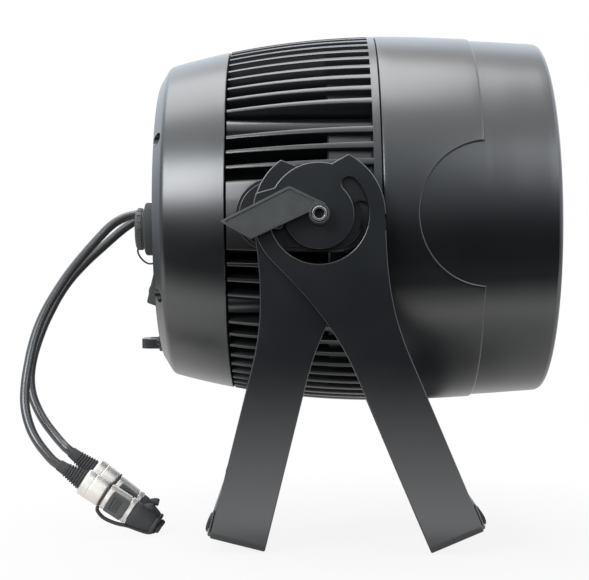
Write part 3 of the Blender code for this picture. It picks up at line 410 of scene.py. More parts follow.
def latheRow(profile, places, sides, soft=0):
    # The same turned shape at several places
    return joinMeshes([latheMesh(profile, sides, soft, at) for at in places])


def cutWith(piece, mesh, operation="DIFFERENCE"):
    # Cuts or adds at once, so nothing but the finished mesh stays.
    tool = bpy.data.objects.new("tool", mesh)
    bpy.context.scene.collection.objects.link(tool)
    tool.matrix_world = piece.matrix_world
    change = piece.modifiers.new("cut", "BOOLEAN")
    change.operation = operation
    change.object = tool
    change.solver = "EXACT"
    bpy.context.view_layer.update()
    graph = bpy.context.evaluated_depsgraph_get()
    made = bpy.data.meshes.new_from_object(piece.evaluated_get(graph))
    piece.modifiers.remove(change)
    old, piece.data = piece.data, made
    bpy.data.meshes.remove(old)
    bpy.data.objects.remove(tool, do_unlink=True)


def smoothRoute(points, spacing):
    # A smooth curve through the points, cut at even steps; returns the steps and the length.
    path = [Vector(p) for p in points]
    ends = [2 * path[0] - path[1]] + path + [2 * path[-1] - path[-2]]
    fine = []
    for p0, p1, p2, p3 in zip(ends, ends[1:], ends[2:], ends[3:]):
        for i in range(20):
            t = i / 20
            fine.append(0.5 * (2 * p1 + (p2 - p0) * t + (2 * p0 - 5 * p1 + 4 * p2 - p3) * t * t
                               + (3 * p1 - p0 - 3 * p2 + p3) * t ** 3))
    fine.append(path[-1])
    reached = [0]
    for a, b in zip(fine, fine[1:]):
        reached.append(reached[-1] + (b - a).length)
    count = max(4, round(reached[-1] / spacing))
    even, index = [], 0
    for i in range(count + 1):
        want = reached[-1] * i / count
        while index < len(fine) - 2 and reached[index + 1] < want:
            index += 1
        share = (want - reached[index]) / (reached[index + 1] - reached[index])
        even.append(fine[index].lerp(fine[index + 1], min(1, share)))
    return even, reached[-1]


def tubeMesh(points, halfWidth, halfHeight=None, sides=20, side=None):
    # A round or flat bar along the points, with rounded ends; side fixes which way a flat one lies.
    halfHeight = halfHeight or halfWidth
    across = side and Vector(side)
    stations = []
    for i, point in enumerate(points):
        ahead = (points[min(i + 1, len(points) - 1)] - points[max(i - 1, 0)]).normalized()
        across = ahead.orthogonal() if across is None else across
        across = (across - ahead * across.dot(ahead)).normalized()
        stations.append((point, ahead, across.copy(), 1))
    closing = min(halfWidth, halfHeight) * 0.25
    first, last = stations[0], stations[-1]
    stations = [(*first[:3], 0.8), (first[0] + first[1] * closing, *first[1:])] + stations[1:-1] \
        + [(last[0] - last[1] * closing, *last[1:]), (*last[:3], 0.8)]
    bm = bmesh.new()
    rings = []
    for point, ahead, cross, scale in stations:
        other = ahead.cross(cross)
        rings.append([bm.verts.new(point + (cross * math.cos(a) * halfWidth + other * math.sin(a) * halfHeight) * scale)
                      for a in [2 * math.pi * k / sides for k in range(sides)]])
    for one, two in zip(rings, rings[1:]):
        bridge(bm, one, two)
    bm.faces.new(rings[0])
    bm.faces.new(rings[-1])
    return closeMesh(bm)


# Data leads: two short captive cables that hang from the rear to capped connectors on the floor

leads = {
    "diameter": 0.0065,
    "slope": {"near": 32.8, "far": 38.5},       # degrees, connectors down towards the front
    "square": 0.005,                            # the last stretch, which meets the boot straight
    "near": [(-0.1246, -0.0110, 0.0038), (-0.1296, -0.0116, 0.0032), (-0.1386, -0.0128, 0.0009),
             (-0.1474, -0.0146, -0.0046), (-0.1555, -0.0170, -0.0131), (-0.1634, -0.0200, -0.0224),
             (-0.1712, -0.0240, -0.0324), (-0.1781, -0.0280, -0.0424), (-0.1848, -0.0325, -0.0537),
             (-0.1903, -0.0370, -0.0645), (-0.1947, -0.0415, -0.0760), (-0.1979, -0.0465, -0.0888),
             (-0.1997, -0.0515, -0.1015), (-0.2008, -0.0560, -0.1138), (-0.2004, -0.0610, -0.1250),
             (-0.1984, -0.0650, -0.1348), (-0.1943, -0.0690, -0.1449), (-0.1886, -0.0730, -0.1532),
             (-0.1818, -0.0758, -0.1608), (-0.1732, -0.0770, -0.1677)],
    "far": [(-0.1246, 0.0110, 0.0038), (-0.1298, 0.0110, 0.0014), (-0.1402, 0.0098, -0.0055),
            (-0.1486, 0.0080, -0.0126), (-0.1569, 0.0055, -0.0204), (-0.1652, 0.0030, -0.0282),
            (-0.1732, -0.0005, -0.0368), (-0.1798, -0.0035, -0.0450), (-0.1857, -0.0080, -0.0546),
            (-0.1902, -0.0115, -0.0639), (-0.1944, -0.0160, -0.0738), (-0.1977, -0.0200, -0.0837),
            (-0.2003, -0.0240, -0.0935), (-0.2019, -0.0280, -0.1033), (-0.2021, -0.0320, -0.1130),
            (-0.2001, -0.0365, -0.1228), (-0.1957, -0.0410, -0.1323), (-0.1892, -0.0465, -0.1416),
            (-0.1817, -0.0510, -0.1500), (-0.1755, -0.0545, -0.1561), (-0.1683, -0.0570, -0.1618)],
}


def addConnector(label, place):
    # All that the lead ends in, drawn along its own axis and carried by the rear yoke; returns the names.
    carried = []

    def addPart(name, mesh, material, node=None, smooth=32, bevel=0, cut=None):
        carried.append(name + label)
        addPiece(name + label, mesh, material, "rear_yoke", node and node + label, place, smooth, bevel, cut=cut)

    # Rubber strain relief: a plain neck, then ribs that step wider.
    boot = [(-1.6, 0), (-1.6, 3.45), (-1.1, 3.75), (2.6, 4.1), (4.4, 4.3)]
    for i in range(7):
        start, radius = 4.6 + 1.86 * i, 4.9 + 0.33 * i
        boot += [(start, radius - 0.9), (start + 0.35, radius), (start + 1.15, radius), (start + 1.5, radius - 0.9)]
    addPart("leadBoot_", latheMesh(boot + [(17.9, 7.1), (17.9, 0)], 40, 0.25), "rubber", "lead_boot_", 50)
    # Turned shell: flared collar, groove for the ring, latch seat and front ring.
    shell = [(18.3, 0), (18.3, 8.3), (19.4, 9.3), (24, 9.4), (24.3, 9.15), (24.7, 9.15), (25, 9.4), (33.6, 9.4),
             (34.6, 8.9), (34.6, 8), (36.7, 8), (36.7, 8.8), (37.2, 8.95), (52, 8.95), (52, 8.2), (53.2, 8.2),
             (53.2, 9), (53.5, 9.15), (56.1, 9.15), (56.5, 8.8), (56.5, 6.7), (50.2, 6.7), (50.2, 0)]
    addPart("leadConnector_", latheMesh(shell, 72, 0.2), "nickel", "lead_connector_",
            cut=blockMesh((39.6, -14, -7.6), (53.3, -6.7, 7.6)))
    # Square release latch with a finger recess and ribs, seated in the shell's flat.
    addPart("leadLatch_", slabMesh(roundedRect(6.6, 7.3, 1, (46.5, 0)), -10.9, -6.6), "nylon", "lead_latch_",
            bevel=0.35 * mm, cut=slabMesh(roundedRect(3.2, 4.6, 0.8, (45.6, 0)), -12, -10))
    ribs = [blockMesh((43.9 + 1.5 * i, -10.7, -3.4), (44.6 + 1.5 * i, -9.9, 3.4)) for i in range(3)]
    addPart("latchRibs_", joinMeshes(ribs), "nylon")
    # Sealing cap: round where it grips, drawn in to a flat end, with a nub for the finger.
    cap = [(50.9, 0), (50.9, 6.1), (56.8, 6.1), (56.8, 8.6), (60.5, 8.6), (66, 7.2), (72.5, 5.7), (72.9, 5.3),
           (73.6, 5.3), (74.4, 5.9), (75.4, 5.7), (76, 4.6), (76, 0)]
    addPart("leadCap_", latheMesh(cap, 48, 0.3), "rubber", "lead_cap_", 40)
    nub = [Vector(p) * mm for p in ((63, 0, 7), (65.5, 0, 9.4), (67.6, 0, 10.4))]
    addPart("capNub_", tubeMesh(nub, 1.6 * mm, 2.6 * mm, 16, (0, 1, 0)), "rubber", smooth=60)
    # Flat moulded tether: a ring in the shell's groove, a loop below it and a button on the cap.
    ring = [(34.8, 8.1), (34.8, 9.3), (35.5, 9.7), (36.2, 9.3), (36.2, 8.1)]
    addPart("tetherRing_", latheMesh(ring, 60, 0.2), "oRing")
    loop = [(35.6, 0, -9.2), (37.4, 0, -12), (43.5, 0, -13.6), (52, 0, -12.3), (60, 0, -9.4), (67, 0, -7.8),
            (73.5, 0, -5.9), (77.2, 0, -2.6)]
    route, _ = smoothRoute([Vector(p) * mm for p in loop], 0.8 * mm)
    addPart("leadStrap_", tubeMesh(route, 2.3 * mm, 1.2 * mm, 16, (0, 1, 0)), "rubber", "lead_strap_", 60)
    button = [(75.8, 0), (75.8, 2), (76.8, 3), (78.6, 3), (79.6, 2.2), (79.6, 0)]
    addPart("tetherButton_", latheMesh(button, 24, 0.3), "rubber", smooth=50)
    return carried


def addLead(label):
    points = [stand["pivot"] + Vector(p) for p in leads[label]]
    slope = math.radians(leads["slope"][label])
    tip = points[-1]
    before = tip - Vector((math.cos(slope), 0, -math.sin(slope))) * leads["square"]
    route, length = smoothRoute(points[:-1] + [before, tip], 0.003)
    lead = addPiece("dataLead_" + label, tubeMesh(route, leads["diameter"] / 2, sides=24), "cable", None,
                    "data_lead_" + label, asDrawn, 60)
    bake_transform(lead)
    carried = addConnector(label, Matrix.Translation(tip) @ Matrix.Rotation(slope, 4, "Y"))
    print("lead", label, "is", round(length, 3), "m long")


addLead("near")
addLead("far")
print("data leads hung")


# Heat sink: a casting of radial fins, raised to a ring at its front

sink = {
    "rear": -59.5, "block": 5.7, "flange": 35.5, "front": 40.7, "blockRadius": 125.5, "core": 100,
    "fins": 72, "finRear": 2.3, "finFront": 4.4, "channelBoss": 7.6, "channelAt": 112,
    "lip": 0.45,                # rounding of the fins' edges
    "bossFoot": 112, "bossFace": 131, "bossRadius": 23.5, "bossRear": -29.7, "bossFront": 6,
}
barrel = {"radius": 130.8, "crest": 43.9, "curve": 1078}


def barrelRadius(along):
    return barrel["radius"] - max(0, barrel["crest"] - along) ** 2 / barrel["curve"]


def finKind(index):
    index %= sink["fins"]
    if index % 12 == 6:
        return "channel"
    fromPad = min(index % 36, 36 - index % 36)
    return "pad" if fromPad <= 2 else "fin"


def finSection(along, core):
    # One turn of the casting, as points.
    share = (along - sink["rear"]) / (sink["flange"] - sink["rear"])
    half = (sink["finRear"] + (sink["finFront"] - sink["finRear"]) * share) / 2
    outer, lip = barrelRadius(along), sink["lip"]
    points = []

    def put(radius, tangent, angle):
        turn = Matrix.Rotation(angle, 2) @ Vector((radius * mm, tangent * mm))
        points.append(Vector((along * mm, turn.x, turn.y)))

    for index in range(sink["fins"]):
        angle = 2 * math.pi * index / sink["fins"]
        kind, before, after = finKind(index), finKind(index - 1), finKind(index + 1)
        if kind == "channel":
            put(sink["core"], -sink["channelBoss"], angle)
            for a, b in arcPoints(sink["channelBoss"], -90, 90, 8):
                put(sink["channelAt"] + a, b, angle)
            put(sink["core"], sink["channelBoss"], angle)
            continue
        for side, other in ((-1, before), (1, after)):
            stations = [(sink["core"] if other == "channel" else core, half), (outer - lip, half),
                        (outer - lip * 0.3, half - lip * 0.3), (outer, half - lip)]
            if kind == "pad" and other == "pad":
                stations = [(outer, half)]
            for radius, tangent in stations[::-side]:
                put(radius, side * tangent, angle)
    return points


def heatSinkMesh():
    rear, block, flange, front, floor = (sink[key] for key in ("rear", "block", "flange", "front", "blockRadius"))
    stations = [(rear + (block - rear) * i / 8, sink["core"]) for i in range(9)]
    # the raised floor starts with a short slope
    stations += [(block + 0.3, floor - 1), (block + 1.3, floor), (20, floor), (flange - 1.4, floor),
                 (flange, floor + 1.6)]
    bm = bmesh.new()
    loops = [[bm.verts.new(point) for point in finSection(*station)] for station in stations]
    rim, edge, face = [], [], []
    for vert in loops[-1]:
        grow = (barrelRadius(flange) + 0.05) * mm / math.hypot(vert.co.y, vert.co.z)
        for ring, along, share in ((rim, flange, grow), (edge, front - 0.4, grow), (face, front, grow * (1 - 0.0035))):
            ring.append(bm.verts.new((along * mm, vert.co.y * share, vert.co.z * share)))
    loops += [rim, edge, face]
    for first, second in zip(loops, loops[1:]):
        bridge(bm, first, second)
    for loop in (loops[0], face):
        for triangle in plateFaces([[(v.co.y, v.co.z) for v in loop]]):
            bm.faces.new([loop[i] for i in triangle])
    return closeMesh(bm)


def stadium(inset):
    radius = sink["bossRadius"] - inset
    return (arcPoints(radius, -90, 90, 24, (sink["bossFront"], 0))
            + arcPoints(radius, 90, 270, 24, (sink["bossRear"], 0)))


def addHeatSink():
    addPiece("heatSink", heatSinkMesh(), "casting", stands="heat_sink", smooth=38)
    spigot = [(40.5, 100), (40.5, 125.2), (46, 125.2), (46, 100), (60, 100), (60, 90), (40.5, 90)]
    addPiece("heatSinkSpigot", latheMesh(spigot, 128), "casting")
    for side, label in ((-1, "right"), (1, "left")):
        # The boss has a stepped edge, which catches two thin lines of light.
        for name, inset, drop in (("bossStep_", 0, 0.9), ("bossFace_", 2.2, 0)):
            slab = slabMesh(stadium(inset), side * sink["bossFoot"], side * (sink["bossFace"] - drop))
            addPiece(name + label, slab, "casting", bevel=0.5 * mm)


addHeatSink()
print("heat sink cast")


# Front housing: a plain drum with a raised sleeve, notched round each side

housing = {
    "rear": 41, "step": 107.5, "notchAt": 111.5, "notchRadius": 47, "level": 1.2,
    "sleeve": 131, "taper": 2.4,
}


def sleeveRadius(along):
    share = (along - housing["rear"]) / (housing["step"] - housing["rear"])
    return housing["sleeve"] - housing["taper"] * share ** 1.6


def sleeveColumns(inset):
    # Angle from straight out to the side, and where the sleeve ends ahead, moved in from its edge by inset.
    notch, centre = housing["notchRadius"], housing["notchAt"]
    outer = sleeveRadius(housing["step"])
    reach = math.acos((centre - housing["step"]) / notch)       # where the notch runs out into the straight edge
    side = []
    for i in range(65):
        turn = reach * (i - 32) / 32
        along, up = centre - notch * math.cos(turn), notch * math.sin(turn)
        inAlong, inUp = -math.cos(turn), math.sin(turn)
        if i in (0, 64):
            inAlong, inUp = -1, 0.92 * math.copysign(1, turn)
        side.append((math.asin(up / outer) + inUp * inset / outer, along + inAlong * inset))
    last = side[-1][0]
    top = [(last + (math.pi - 2 * last) * (i + 1) / 61, housing["step"] - inset) for i in range(60)]
    other = [(math.pi - angle, along) for angle, along in reversed(side)]
    below = [(angle + math.pi, along) for angle, along in top]
    return side + top + other + below


def raisedSleeveMesh():
    rear = housing["rear"]
    rows = []
    for drop, inset in ((2.4, 0), (1.15, 0), (0.62, 0.16), (0.25, 0.5), (0.05, 0.95), (0, 1.5)):
        rows.append([(angle, along, sleeveRadius(along) - drop) for angle, along in sleeveColumns(inset)])
    ends = sleeveColumns(1.5)
    for step in range(1, 9):
        share = step / 9
        rows.append([(angle, a, sleeveRadius(a)) for angle, a in
                     [(angle, along + (rear + 1.3 - along) * share) for angle, along in ends]])
    for ahead, radius in ((1.3, 131), (0.75, 130.85), (0.3, 130.4), (0.05, 129.8), (0, 129), (0, 126.5)):
        rows.append([(angle, rear + ahead, radius) for angle, _ in ends])
    bm = bmesh.new()
    rings = [[bm.verts.new((a * mm, r * math.cos(angle) * mm, r * math.sin(angle) * mm)) for angle, a, r in row]
             for row in rows]
    for first, second in zip(rings, rings[1:] + rings[:1]):
        bridge(bm, first, second)
    return closeMesh(bm)


def addFrontHousing():
    rear, step = housing["rear"], housing["step"]
    shell = [(rear, 129)] + [(a, sleeveRadius(a) - housing["level"])
                               for a in [rear + (step - rear) * i / 10 for i in range(1, 11)]]
    shell += [(112, 127.1), (125, 126.4), (140, 125.4), (149, 124.9), (154, 124.5), (155.9, 123.6),
              (156.8, 122.3), (157, 121.3), (156.6, 120.4), (155.6, 119.8), (112.3, 118.2), (112.3, 106),
              (106.5, 106), (106.5, 123), (rear, 125.6)]
    addPiece("frontHousing", latheMesh(shell, 192, 0.3), "casting", stands="front_housing", smooth=30)
    addPiece("raisedSleeve", raisedSleeveMesh(), "casting", smooth=60)


addFrontHousing()
print("front housing made")


# Optics behind the glass

optics = {
    "rings": ((6, 40, 0), (12, 80, 15)),        # lenses, radius, first one's angle
    "diesAt": ((-1.3, -1.3), (1.3, -1.3), (-1.3, 1.3), (1.3, 1.3)),
    "ringScrews": 12, "ringScrewsAt": 112.2,
}


def addOptics():
    centres = []
    for count, radius, first in optics["rings"]:
        centres += around(count, radius, first=first)
    lens = [(62.3, 0), (62.3, 6.5), (68, 10.5), (76, 14.6), (84.5, 17.3), (86.4, 17.8), (88.6, 17.8),
            (88.9, 16.6), (88.2, 16), (88.2, 7.5), (89.4, 6.6), (90.6, 4), (91, 0)]
    seat = [(88, 16.9), (88, 19.4), (91.6, 19.4), (93, 18.6), (93, 17.6), (91.4, 16.9)]
    packages = [slabMesh(roundedRect(3.4, 3.4, 0.6, centre), 61.2, 62, plane="YZ") for centre in centres]
    addPiece("lensArray", latheRow(lens, centres, 48, 0.3), "lens", stands="lens_array", smooth=40)
    addPiece("lensSeats", latheRow(seat, centres, 48, 0.3), "nylon", smooth=40)
    addPiece("emitterPackages", joinMeshes(packages), "board")
    for (y, z), kind in zip(optics["diesAt"], dies):
        chips = [slabMesh(roundedRect(1, 1, 0.15, (a + y, b + z)), 61.9, 62.2, plane="YZ") for a, b in centres]
        addPiece("emitters_" + kind, joinMeshes(chips), kind)
    holes = [around(48, 17.4, centre) for centre in centres]
    addPiece("lensMask", slabMesh(around(144, 104), 89.4, 91.4, holes, "YZ"), "nylon", stands="lens_mask",
             bevel=0.3 * mm)
    glass = [(114, 0), (114, 115.5), (118, 115.5), (118, 0)]
    addPiece("frontGlass", latheMesh(glass, 160, 0.4), "glass", stands="front_glass")
    ring = [(118.3, 106.5), (118.3, 117.8), (120.9, 117.8), (121.3, 117.3), (121.3, 107.6), (120.6, 106.5)]
    addPiece("glassRing", latheMesh(ring, 160, 0.3), "plate", stands="glass_retaining_ring")
    screw = [(121.2, 0), (121.2, 3), (122, 2.8), (122.8, 2), (123, 1.3), (122.1, 1.2), (122.1, 0)]
    screwsAt = around(optics["ringScrews"], optics["ringScrewsAt"], first=15)
    addPiece("ringScrews", latheRow(screw, screwsAt, 20, 0.15), "oxide", smooth=40)


addOptics()
print("optics fitted")


# Rear cover: a dished casting with screws sunk in its bevelled edge

cover = {
    "front": -60.8, "corner": -102.6, "rear": -109.8, "cornerRadius": 110.6, "faceRadius": 98.5,
    "cornerEase": 2.5, "faceEase": 1.8, "seam": 0.5, "screws": 6, "screwsAt": 103.5,
}


def coverRadius(along):
    share = (cover["front"] - along) / (cover["front"] - cover["corner"])
    return barrelRadius(along) - 0.3 * share ** 2


def addRearCover():
    front, seam = cover["front"], cover["seam"]
    outside = [(a, coverRadius(a)) for a in [front + (cover["corner"] - front) * i / 12 for i in range(13)]]
    outside[0] = (front, outside[0][1] - seam)
    outside.insert(1, (front - seam, coverRadius(front - seam)))
    corner, face = (cover["corner"], cover["cornerRadius"]), (cover["rear"], cover["faceRadius"])
    eased = easeCorners([outside[-4], corner, face], cover["cornerEase"], closed=False, steps=8)[1:-1]
    eased += easeCorners([corner, face, (cover["rear"], 0)], cover["faceEase"], closed=False, steps=6)[1:]
    inside = [(-106.8, 0), (-106.8, 94), (-97, 94), (-90, 108.5), (-75, 114.6), (front, 116.6)]
    screwsAt = around(cover["screws"], cover["screwsAt"], first=30)
    wells = latheRow([(-115, 0), (-115, 4.6), (-100.5, 4.6), (-100.5, 0)], screwsAt, 40)
    shell = addPiece("rearCover", latheMesh(outside[:-3] + eased + inside, 192), "casting", stands="rear_cover",
                     smooth=28, cut=wells)
    shell.data.set_sharp_from_angle(angle=math.radians(28))
    screw = [(-100.6, 0), (-100.6, 3.9), (-103.6, 3.9), (-104, 3.5), (-104, 2), (-102.2, 2), (-102.2, 0)]
    addPiece("coverScrews", latheRow(screw, screwsAt, 24, 0.15), "oxide", smooth=40)


addRearCover()
print("rear cover made")


# Rear fittings

rearParts = {
    "socketY": 62, "socketZ": -7, "capRadius": 14, "grips": 18, "glandY": 11, "glandZ": 5,
    "nutRadius": 8, "flutes": 16, "panelTop": -17, "panelBottom": -58.1, "panelProud": 10.3, "panelHalf": 38,
    "windowZ": 9, "buttonYs": (-27, -9, 9, 27), "buttonZ": -12, "eyeZ": -88.3, "eyeTip": -127,
    "eyeRound": 9, "eyeThick": 7, "eyeScrewY": 19.5, "footUp": 2.5,
}


def addPowerSocket(label, side):
    at = (side * rearParts["socketY"], rearParts["socketZ"])
    base = [(-117.8, 9.7), (-117.8, 15.6), (-117.4, 17.2), (-116.6, 18), (-110.1, 18.1), (-110.1, 9.7)]
    addPiece("powerSocket_" + label, latheMesh(base, 72, 0.3, at), "rubber", stands="power_%s_socket" % label)
    cap = [(-123.9, 0), (-123.9, 9.6), (-123.4, 10), (-123.4, 11.4), (-123.9, 11.8), (-123.7, 13),
           (-122.6, 14), (-119.4, 14), (-119.2, 13.6), (-118.1, 13.6), (-118.1, 9.2), (-110.2, 8.9), (-110.2, 0)]
    body = "power_%s_cap" % label
    addPiece("powerCap_" + label, latheMesh(cap, 64, 0.3, at), "nylon", body, body, smooth=40)
    grip = [(-122.4, 0), (-122.4, 0.5), (-119.5, 0.5), (-119.5, 0)]
    gripsAt = around(rearParts["grips"], rearParts["capRadius"], at)
    addPiece("capGrips_" + label, latheRow(grip, gripsAt, 8), "nylon", body, smooth=60)
    loop = [(-122.6, -19.4), (-123.2, -22.1), (-121.8, -25.6), (-119.4, -28.5), (-116.5, -30.4), (-113.5, -30.6),
            (-110, -29.2)]
    route, _ = smoothRoute([headPlace @ (Vector((x, at[0], z)) * mm) for x, z in loop], 0.6 * mm)
    strap = addPiece("powerStrap_" + label, tubeMesh(route, 1.3 * mm, 0.6 * mm, 14, (0, 1, 0)), "rubber", None,
                     "power_%s_strap" % label, asDrawn, 60)
    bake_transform(strap)


def addGland(label, side):
    at = (side * rearParts["glandY"], rearParts["glandZ"])
    hexagon = slabMesh(around(6, 9, at, 30), -113.9, -110.1, [around(24, 3.7, at)], "YZ")
    addPiece("glandBody_" + label, hexagon, "nickel", stands="gland_body_" + label, bevel=0.5 * mm)
    nut = [(-124.3, 3.65), (-124.3, 5), (-123.2, 6.6), (-121.5, 7.8), (-120.6, 8.1), (-114.4, 8.1), (-114.4, 3.65)]
    addPiece("glandNut_" + label, latheMesh(nut, 48, 0.3, at), "nickel", stands="gland_nut_" + label)
    flute = [(-120.6, 0), (-120.6, 0.6), (-114.6, 0.6), (-114.6, 0)]
    flutesAt = around(rearParts["flutes"], rearParts["nutRadius"], at)
    addPiece("glandFlutes_" + label, latheRow(flute, flutesAt, 8), "nickel", smooth=60)


def addMenuPanel():
    back, tip = cover["rear"] - 0.3, cover["rear"] - rearParts["panelProud"]
    top, bottom, half = rearParts["panelTop"], rearParts["panelBottom"], rearParts["panelHalf"]
    windowAt, low = (0, rearParts["windowZ"]), rearParts["buttonZ"]
    wedge = easeCorners([(back, top), (tip, bottom), (tip + 4.2, bottom - 1.4), (back, bottom - 3.9)], 1.6)
    panel = addPiece("menuPanel", slabMesh(wedge, -half, half), "nylon", None)
    tilt = math.atan2(rearParts["panelProud"] - 0.3, top - bottom)
    middle = Vector(((back + tip) / 2, 0, (top + bottom) / 2)) * mm
    face = headPlace @ Matrix.Translation(middle) @ Matrix.Rotation(tilt, 4, "Y")
    recess = slabMesh(roundedRect(22.3, 9.3, 1.2, windowAt), -3, 1.2, plane="YZ")
    wells = latheRow([(-4, 0), (-4, 4.5), (3.8, 4.5), (3.8, 0)], [(y, low) for y in rearParts["buttonYs"]], 32)
    cutter = joinMeshes([recess, wells])
    cutter.transform(headPlace.inverted() @ face)
    cutWith(panel, cutter)
    softenEdges(panel, 0.4 * mm, harden=False)
    panel.data.set_sharp_from_angle(angle=math.radians(30))
    fit(panel, "lamp_head", "control_panel")
    window = slabMesh(roundedRect(22, 9, 1, windowAt), 0.2, 1.1, plane="YZ")
    addPiece("displayWindow", window, "window", "lamp_head", "display_window", face, bevel=0.2 * mm)
    dome = [(-1.6, 0), (-1.5, 1.6), (-1.1, 3.1), (-0.4, 3.8), (0.6, 4), (2.2, 4), (2.2, 0)]
    # plain arrow marks: back, down, up, enter
    marks = ([(-1.6, 0), (0.8, 1.5), (0.8, -1.5)], [(0, -1.6), (1.5, 0.8), (-1.5, 0.8)],
             [(0, 1.6), (-1.5, -0.8), (1.5, -0.8)], roundedRect(1.2, 1.2, 0.3))
    for number, (y, outline) in enumerate(zip(rearParts["buttonYs"], marks), 1):
        body = "menu_button_%d" % number
        addPiece("menuButton_%d" % number, latheMesh(dome, 48, 0.2, (y, low)), "rubber", body, body, face, 40)
        mark = slabMesh([(y - a, b + low + 9) for a, b in outline], -0.35, 0, plane="YZ")
        addPiece("menuMark_%d" % number, mark, "legend", place=face @ Matrix.Translation((0.3 * mm, 0, -16.2 * mm)))


def addSafetyEye():
    z, turn, half = rearParts["eyeZ"], rearParts["eyeRound"], rearParts["eyeThick"] / 2
    tip, footZ, screwY = rearParts["eyeTip"] + turn, z + rearParts["footUp"], rearParts["eyeScrewY"]
    outline = ([(-112, -15)] + arcPoints(turn, 270, 180, 10, (tip, -6)) + arcPoints(turn, 180, 90, 10, (tip, 6))
               + [(-112, 15)])
    hole = arcPoints(4, 0, 180, 12, (-117.6, 4.5)) + arcPoints(4, 180, 360, 12, (-117.6, -4.5))
    addPiece("safetyEye", slabMesh(outline, z - half, z + half, [hole], "XY"), "plate", stands="safety_eye",
             bevel=0.9 * mm, steps=3)
    foot = slabMesh(roundedRect(24, 7.5, 4, (0, footZ)), -113.1, -110.1, plane="YZ")
    addPiece("eyeFoot", foot, "plate", bevel=0.6 * mm)
    screw = [(-113, 0), (-113, 3.2), (-114.6, 2.9), (-115.2, 2), (-115.2, 1.4), (-114.3, 1.4), (-114.3, 0)]
    addPiece("eyeScrews", latheRow(screw, [(-screwY, footZ), (screwY, footZ)], 24, 0.15), "oxide", smooth=40)


addPowerSocket("in", -1)
addPowerSocket("out", 1)
addGland("near", -1)
addGland("far", 1)
addMenuPanel()
addSafetyEye()
print("rear fittings made")


# Yokes: bent plate, one inside the other

yokes = {
    "halfWidth": 18, "plate": 3, "bend": 5, "lipInner": 18.3, "lipThick": 1.8, "lipHeight": 17,
    "head": 42, "leave": -22, "crown": 32.7, "horn": 41.5, "crownStart": 53,
    "slotAt": 26.8, "slotHalf": 4.5, "slotEnd": 22.5, "boltHole": 5.5, "clampHole": 6.5,
    "rearArm": 133.1, "frontArm": 138.2,
}


def bezier(a, b, c, d, steps):
    points = []
    for i in range(steps + 1):
        t = i / steps
        weights = ((1 - t) ** 3, 3 * t * (1 - t) ** 2, 3 * t * t * (1 - t), t ** 3)
        points.append(tuple(sum(w * p[k] for w, p in zip(weights, (a, b, c, d))) for k in (0, 1)))
    return points


def yokeOutline(half):
    # Front half of an arm's outline, from the leg up to the top of its head.
    head, leave = yokes["head"], math.radians(yokes["leave"])
    start = (head * math.cos(leave), head * math.sin(leave))
    slope = (math.sin(leave), -math.cos(leave))
    side = bezier((half, -105), (half, -75), (start[0] + slope[0] * 40, start[1] + slope[1] * 40), start, 20)
    side += arcPoints(head, yokes["leave"], yokes["horn"] - 0.5, 28)[1:]
    return side + arcPoints(yokes["crown"], yokes["crownStart"], 90, 16)


def slotPoints():
    at, half, end = yokes["slotAt"], yokes["slotHalf"], yokes["slotEnd"]
    ends = [(at * math.cos(math.radians(a)), at * math.sin(math.radians(a))) for a in (end, -180 - end)]
    outer = arcPoints(at + half, -180 - end, end, 60)
    inner = arcPoints(at - half, end, -180 - end, 50)
    return (outer + arcPoints(half, end, end + 180, 12, ends[0])[1:-1] + inner
            + arcPoints(half, -end, 180 - end, 12, ends[1])[1:-1])


def yokeMesh(armY, leg, side):
    # Leg straight down; side +1 has its lip towards the light exit.
    half, bend = yokes["halfWidth"], yokes["bend"]
    outline = [(half, -120)] + yokeOutline(half)
    outline += [(-x, z) for x, z in reversed(outline[:-1])]
    loops = [outline, slotPoints(), around(48, yokes["boltHole"])]
    bm = bmesh.new()
    openEdge = len(outline) - 1     # where the leg goes on into the bend
    ends = {}
    for arm in (-1, 1):
        layers = [[bm.verts.new((side * x * mm, arm * level * mm, z * mm)) for loop in loops for x, z in loop]
                  for level in (armY, armY + yokes["plate"])]
        for triangle in plateFaces(loops):
            for layer in layers:
                bm.faces.new([layer[i] for i in triangle])
        plateWalls(bm, loops, layers, openEdge)
        ends[arm] = [(layer[0], layer[openEdge]) for layer in layers]
    inside = bend - yokes["plate"]
    path = []
    for i in range(9):
        angle = math.radians(-90 * i / 8)
        path.append([(armY - inside + r * math.cos(angle), -leg + bend + r * math.sin(angle)) for r in (inside, bend)])
    path += [[(-y, z) for y, z in pair] for pair in reversed(path)]

    def band(first, second):
        (a, b), (c, d) = first
        (e, f), (g, h) = second
        for corners in ((a, b, f, e), (c, d, h, g), (a, c, g, e), (b, d, h, f)):
            bm.faces.new(corners)

    previous = ends[1]
    for pair in path:
        current = [tuple(bm.verts.new((side * x * mm, y * mm, z * mm)) for x in (half, -half)) for y, z in pair]
        band(previous, current)
        previous = current
    band(previous, ends[-1])
    return closePlate(bm)


